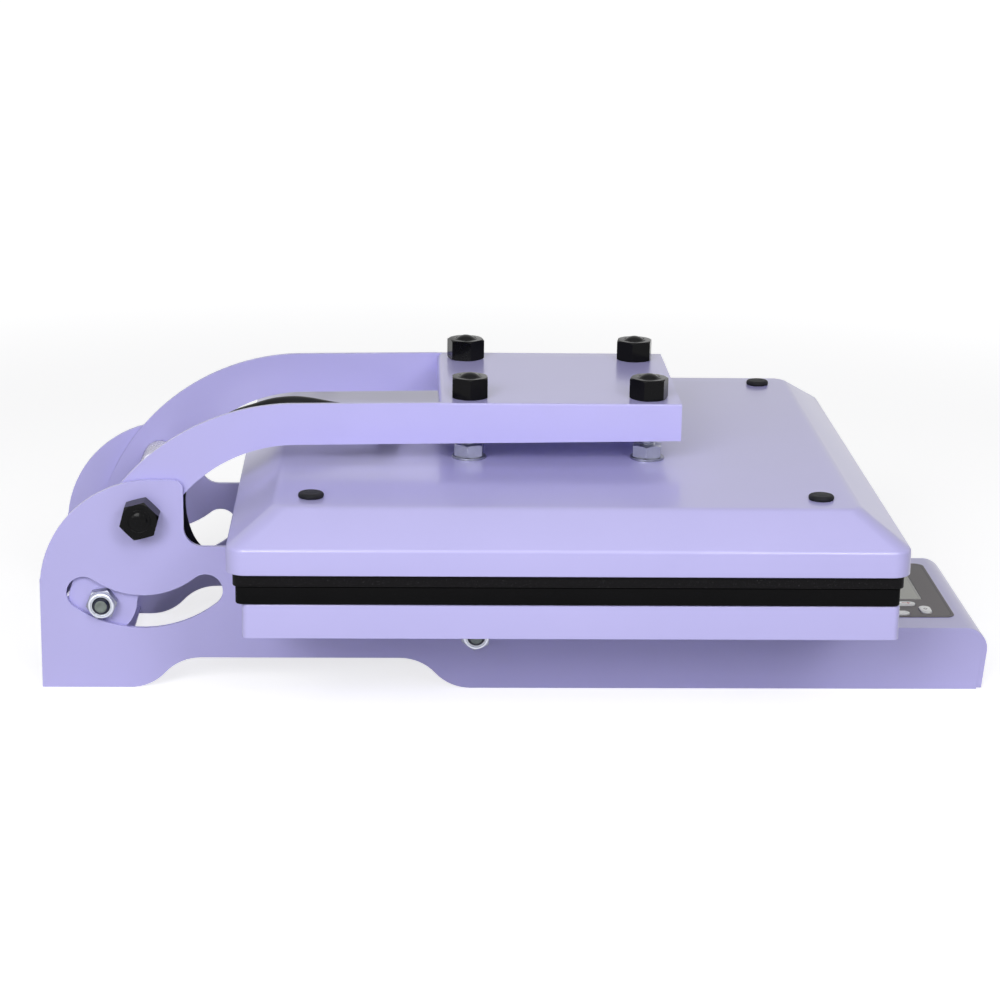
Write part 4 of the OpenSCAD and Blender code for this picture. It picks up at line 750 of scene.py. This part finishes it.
def lock_nuts(node, at, out, body):
    """Locking nuts of both sides: the node's own hexagon in painted shade, a rolled collar in painted
    highlight, and the dark nylon ring in it.
    """
    bm = copy_of(node, 0.08)
    cut_back(out - 2.55)(bm)
    collar = [(5.6, -4.4), (8.1, -4.4), (8.1, -1.2), (7.95, -0.55), (7.55, -0.14), (7.1, -0.01),
              (6.7, -0.06), (6.52, -0.3), (6.45, -0.95), (6.05, -0.95), (5.98, -0.35), (5.82, -0.12),
              (5.6, -0.16), (5.48, -0.45), (5.45, -1.4), (5.6, -1.4), (5.6, -4.4)]
    nylon = [(4.98, -1.9), (5.43, -1.9), (5.43, -0.7), (5.3, -0.5), (5.1, -0.6), (4.98, -0.85), (4.98, -1.9)]
    rings, collars = bmesh.new(), bmesh.new()
    for near in (True, False):
        place = sideways(at[0], out, at[1], near)
        poured(collars, turned(collar, 48), place)
        poured(rings, turned(nylon, 40), place)
    put(node[:-1] + "_rings", rings, "nylon", body)
    # painted highlight on the collars, painted shade on the hexagons: lighter and darker copies of one zinc
    # plate
    put(node[:-1] + "_collars", collars, "zinc_painted_highlight", body)
    edges_softened(put("finished_" + node, bm, "zinc_painted_shade", body, [node]), 0.18, 1)


def capped(node, spots):
    """Hexagon caps with a thin turned ring round their dome."""
    step = [(6.4, -0.5), (7.35, -0.5), (7.35, 0.05), (7.2, 0.22), (6.9, 0.3), (6.6, 0.22), (6.45, 0.05),
            (6.4, -0.5)]

    def change(bm):
        for place in spots:
            poured(bm, turned(step, 48), place)
    dress(node, 0.8, segments=4, angle=25, change=change)


def hardware():
    """Bolts, nuts, caps, the gland, and the yoke that they hold."""
    for node in ("levelling_nuts", "clamp_nuts"):
        dress(node, 0.4, finish="zinc", segments=3)
    # the washers take the darker copy of the zinc plate as painted shade
    dress("clamp_washers", 0.18, finish="zinc_painted_shade", segments=1)
    for node in ("top_nuts", "hinge_nuts", "table_bolts", "pan_screws"):
        dress(node, 0.18, segments=1)
    dress("tail_bolts", 0.2, segments=1, change=cut_back(78.0))
    dress("tie_rod", 0.2, segments=1, change=cut_back(81.5))
    bolt_ends("tail_bolt_end", TAIL, 77.5, 83.6, "press_head")
    bolt_ends("tie_rod_end", TIE, 81.0, 87.4, "base")
    lock_nuts("tail_nuts", TAIL, 81.85, "press_head")
    lock_nuts("tie_nuts", TIE, 85.65, "base")
    capped("stud_caps", [Matrix.Translation(Vector((x, y, 194.4)) * MM) for x, y in STUDS])
    capped("hinge_caps", [sideways(PIVOT[0], 90.04, PIVOT[1], near) for near in (True, False)])
    dress("lead_gland", 0.3)
    dress("yoke", 0.5, angle=35)


# ---------------------------------------------------------------- lead, springs, wiring

def lead_points():
    """The lead's route from the gland to its terminals, in the middle plane."""
    r, low, px, pz, gx, top = LEAD_R, 58.2, PIVOT[0], PIVOT[1], -80.1, COVER_TOP
    span = gx - px
    gland = [(gx, 133.9), (gx, top), (gx, top + 7.2), (gx - r * 0.5, top + 11.2),
             (gx - r * 2.1, top + r * 2.45)]
    arch = [(gx - span * 0.22, top + r * 2.8), (gx - span * 0.365, top + r * 3.5),
            (gx - span * 0.475, top + r * 3.35), (gx - span * 0.56, top + r * 2.65),
            (gx - span * 0.655, top + r * 1.7), (px + r * 6.2, pz + r * 5.4), (px + r * 4, pz + r * 2.5)]
    drop = [(px + r * 2.95, pz - r * 0.9), (px + r * 3, pz - r * 3.8), (px + r * 3.8, pz - r * 6.6),
            (px + r * 5.3, pz - r * 8.6), (px + r * 7.7, low + r * 0.1)]
    under_deck = [(px + r * 13, low), (px + r * 24, low), (-41.0, low), (-7.0, low)]
    return [(x, 0.0, z) for x, z in gland + arch + drop + under_deck]


def smooth_run(points, steps=3):
    """Points on a smooth line that passes through the given ones, with steps from one to the next."""
    line = [Vector(p) for p in points]
    out = []
    for i in range(len(line) - 1):
        a, b, c, d = line[max(i - 1, 0)], line[i], line[i + 1], line[min(i + 2, len(line) - 1)]
        for k in range(steps):
            t = k / steps
            out.append(0.5 * (2 * b + (c - a) * t + (2 * a - 5 * b + 4 * c - d) * t * t
                              + (3 * b - a - 3 * c + d) * t ** 3))
    return out + [line[-1]]


def lead_part(name, line):
    """One stretch of the lead; its path and length are worked out but not used."""
    made = put(name, tube_along(name, line, LEAD_R, sides=6), "cable_skin", None, ["lead"], limit=60)
    path = [tuple(p * MM) for p in line]
    length = sum((b - a).length for a, b in zip(line, line[1:])) * MM
    return made


def lead():
    """The lead in two stretches: the upper one is baked in place on no body, the lower one stays in the base.
    """
    points, below_hinge = lead_points(), 13
    line = smooth_run(points)
    cut = below_hinge * (len(line) - 1) // (len(points) - 1)
    upper = lead_part("supply_lead", line[:cut + 1])
    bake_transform(upper)
    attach(lead_part("supply_lead_run", line[cut:]), "base")


def lift_spring(name, side):
    """Torsion spring on the hinge rod: outer leg behind the tail bolt, inner leg on the rear panel's foot."""
    coil, wire, length, inner, outer = 9.5, 4.0, 28.6, 84.5, 9.0
    turn, tail_r = radians(24), 61.5
    along, across = Vector((-sin(turn), 0, -cos(turn))), Vector((-cos(turn), 0, sin(turn)))
    start, stop = atan2(sin(turn), -cos(turn)), radians(225 + 90 - 360 * 6)
    line = []
    for k in range(7):
        reach = (tail_r + outer) * (1 - k / 7)
        line.append(reach * along + (coil + (5.0 + wire / 2 + 0.3 - coil) * reach / tail_r) * across)
    steps = 110
    for k in range(steps + 1):
        a = start + (stop - start) * k / steps
        line.append(Vector((coil * cos(a), length * k / steps, coil * sin(a))))
    leg = Vector((cos(radians(225)), 0, sin(radians(225))))
    for k in range(1, 8):
        line.append(Vector((coil * cos(stop), length, coil * sin(stop))) + leg * (inner * k / 7))
    line = [p + Vector((PIVOT[0], -66.6, PIVOT[1])) for p in line]
    if side > 0:
        line = [Vector((p.x, -p.y, p.z)) for p in line]
    bm = tube_along(name, line, wire / 2, sides=3, smooth=2)
    made = put("coiled_" + name, bm, "spring_steel", None, [name], limit=60)
    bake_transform(made)


def wiring():
    """From the power switch along the far side to the terminals."""
    rear, up = -288.0, 50.0
    route = [(rear + 17.3, 28, 22), (rear + 29, 28, 22), (rear + 44.8, 39, 30), (rear + 72, 50, 39),
             (rear + 106, 50, up - 2), (rear + 140, 50, up), (-77, 50, up), (-26, 50, up), (-7.0, 50, up)]
    bm = tube_along("wiring", smooth_run(route), WIRING_R)
    put("switch_wiring", bm, "cable_skin", "base", ["inner_cable"], limit=60)


# ---------------------------------------------------------------- controls

def controls():
    """Film, display and the three oval buttons."""
    dress("overlay", 0.12, merge=0.02, segments=1)
    dress("display", 0.12, merge=0.02, segments=1)
    half_long, half_wide = 7.0, 3.7
    rim = [(0, 36.9), (0, 40.9), (0.1, 41.2), (0.45, 41.4), (1.2, 41.49), (2.4, 41.5)]
    stem = [(0, 33.0), (1.7, 33.0), (2.0, 33.3), (2.0, 37.0), (0, 37.0)]
    for name, finish in zip(BUTTONS, ("key_red", "key_dark", "key_plain")):
        x, y, turn = BUTTONS[name]
        bm = stack([(half_long - inset, half_wide - inset, half_wide - inset, z) for inset, z in rim],
                   corner=8)
        poured(bm, turned(stem, 20))
        moved(bm, x, y, 0, radians(turn))
        cap = "key_cap_" + name.removeprefix("button_")
        put(cap, bm, finish, NODES[name]["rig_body"], [name])


def rear_fittings():
    """Inlet, switch and rocker."""
    dress("mains_inlet", 0.4)
    dress("inlet_pins", 0.35)
    dress("power_switch", 0.35)
    dress("rocker", 0.5, finish="rocker", segments=3)


def hidden_nodes():
    """Nodes that no piece replaces are right as they are and only take their finish."""
    for name, node in NODES.items():
        if not node.hide_render:
            node.data.materials.clear()
            node.data.materials.append(FINISHES[SLOT_OF[name]])


# ---------------------------------------------------------------- floor, light, camera

def studio():
    """A pale floor that keeps the shadow and turns white further out, in front of a white world."""
    f = Finish("pale_studio_floor")
    tone = f.mix(f.noise(f.coords(), 900.0, 2.0), srgb(200, 200, 202), srgb(206, 206, 207))
    matt = f.node("BsdfDiffuse", None, {"Color": tone})
    away = f.node("VectorMath", {"operation": "LENGTH"}, {0: f.coords()}, out=1)
    white = f.mix(away.band(700.0, 1700.0), (0.74, 0.74, 0.74, 1), (1, 1, 1, 1))
    glow = f.node("Emission", None, {"Color": white, "Strength": 1.0})
    lifted = f.node("AddShader", None, {0: matt, 1: glow})
    shown = f.node("MixShader", None, {0: f.looked_at(), 1: matt, 2: lifted})
    f.node("OutputMaterial", None, {"Surface": shown})
    bm = bmesh.new()
    bmesh.ops.create_grid(bm, x_segments=2, y_segments=2, size=6.0)
    mesh = bpy.data.meshes.new("studio_floor")
    bm.to_mesh(mesh)
    bm.free()
    mesh.materials.append(f.owner)
    floor = bpy.data.objects.new("studio_floor", mesh)
    bpy.context.scene.collection.objects.link(floor)

    bpy.context.scene.world = bpy.data.worlds.new("studio")
    w = Finish("studio", bpy.context.scene.world)
    dim = w.node("Background", None, {"Color": (0.95, 0.96, 1.0, 1), "Strength": 0.08})
    bright = w.node("Background", None, {"Color": (1, 1, 1, 1), "Strength": 1.0})
    shown = w.node("MixShader", None, {0: w.looked_at(), 1: dim, 2: bright})
    w.node("OutputWorld", None, {"Surface": shown})


def lamp(name, at, aim, size, power, spread=180):
    """A square lamp, with places and size in metres."""
    data = bpy.data.lights.new(name, "AREA")
    data.shape, data.size, data.energy, data.spread = "SQUARE", size, power, radians(spread)
    made = bpy.data.objects.new(name, data)
    made.location = at
    made.rotation_euler = (Vector(aim) - Vector(at)).to_track_quat("-Z", "Y").to_euler()
    bpy.context.scene.collection.objects.link(made)


def photo_camera():
    """The photograph's view, fitted to the corners of cover, pan and base."""
    data = bpy.data.cameras.new("photo_camera")
    data.sensor_width, data.lens = 36.0, 98.39
    data.clip_start, data.clip_end = 0.05, 50.0
    made = bpy.data.objects.new("photo_camera", data)
    yaw, pitch, roll = 0.03935, -0.26972, 0.01541
    ahead = Vector((sin(yaw) * cos(pitch), cos(yaw) * cos(pitch), sin(pitch)))
    level = Vector((cos(yaw), -sin(yaw), 0))
    upward = level.cross(ahead)
    right = cos(roll) * level + sin(roll) * upward
    up = -sin(roll) * level + cos(roll) * upward
    turn = Matrix((right, up, -ahead)).transposed().to_4x4()
    made.matrix_world = Matrix.Translation(Vector((-75.66, -1686.16, 567.08)) * MM) @ turn
    bpy.context.scene.collection.objects.link(made)
    bpy.context.scene.camera = made


photo_camera()
lead()
wiring()
lift_spring("lift_spring_near", -1)
lift_spring("lift_spring_far", 1)
base_frame()
table()
platen()
cover_plugs()
stud_set()
hardware()
controls()
rear_fittings()
hidden_nodes()
studio()
lamp("key_softbox", (-0.75, -2.0, 1.15), (0.25, 0, 0.1), 0.9, 7.4, 100)
lamp("left_softbox", (-1.7, -1.8, 0.8), (0.2, 0, 0.1), 0.9, 1.8, 100)
lamp("right_softbox", (0.9, -2.0, 1.3), (0.2, 0, 0.1), 0.9, 4.6, 100)
lamp("front_softbox", (0.05, -1.1, 1.25), (0.05, -0.1, 0.12), 0.7, 3.6)
lamp("top_softbox", (0.1, 0.0, 2.4), (0.1, 0, 0.1), 1.5, 3.2)
lamp("left_spark", (-1.0, -1.8, 1.15), (0, 0, 0.15), 0.06, 0.7)
lamp("right_spark", (0.75, -1.9, 1.15), (0, 0, 0.15), 0.06, 0.7)
bpy.context.scene.view_settings.view_transform = "Standard"
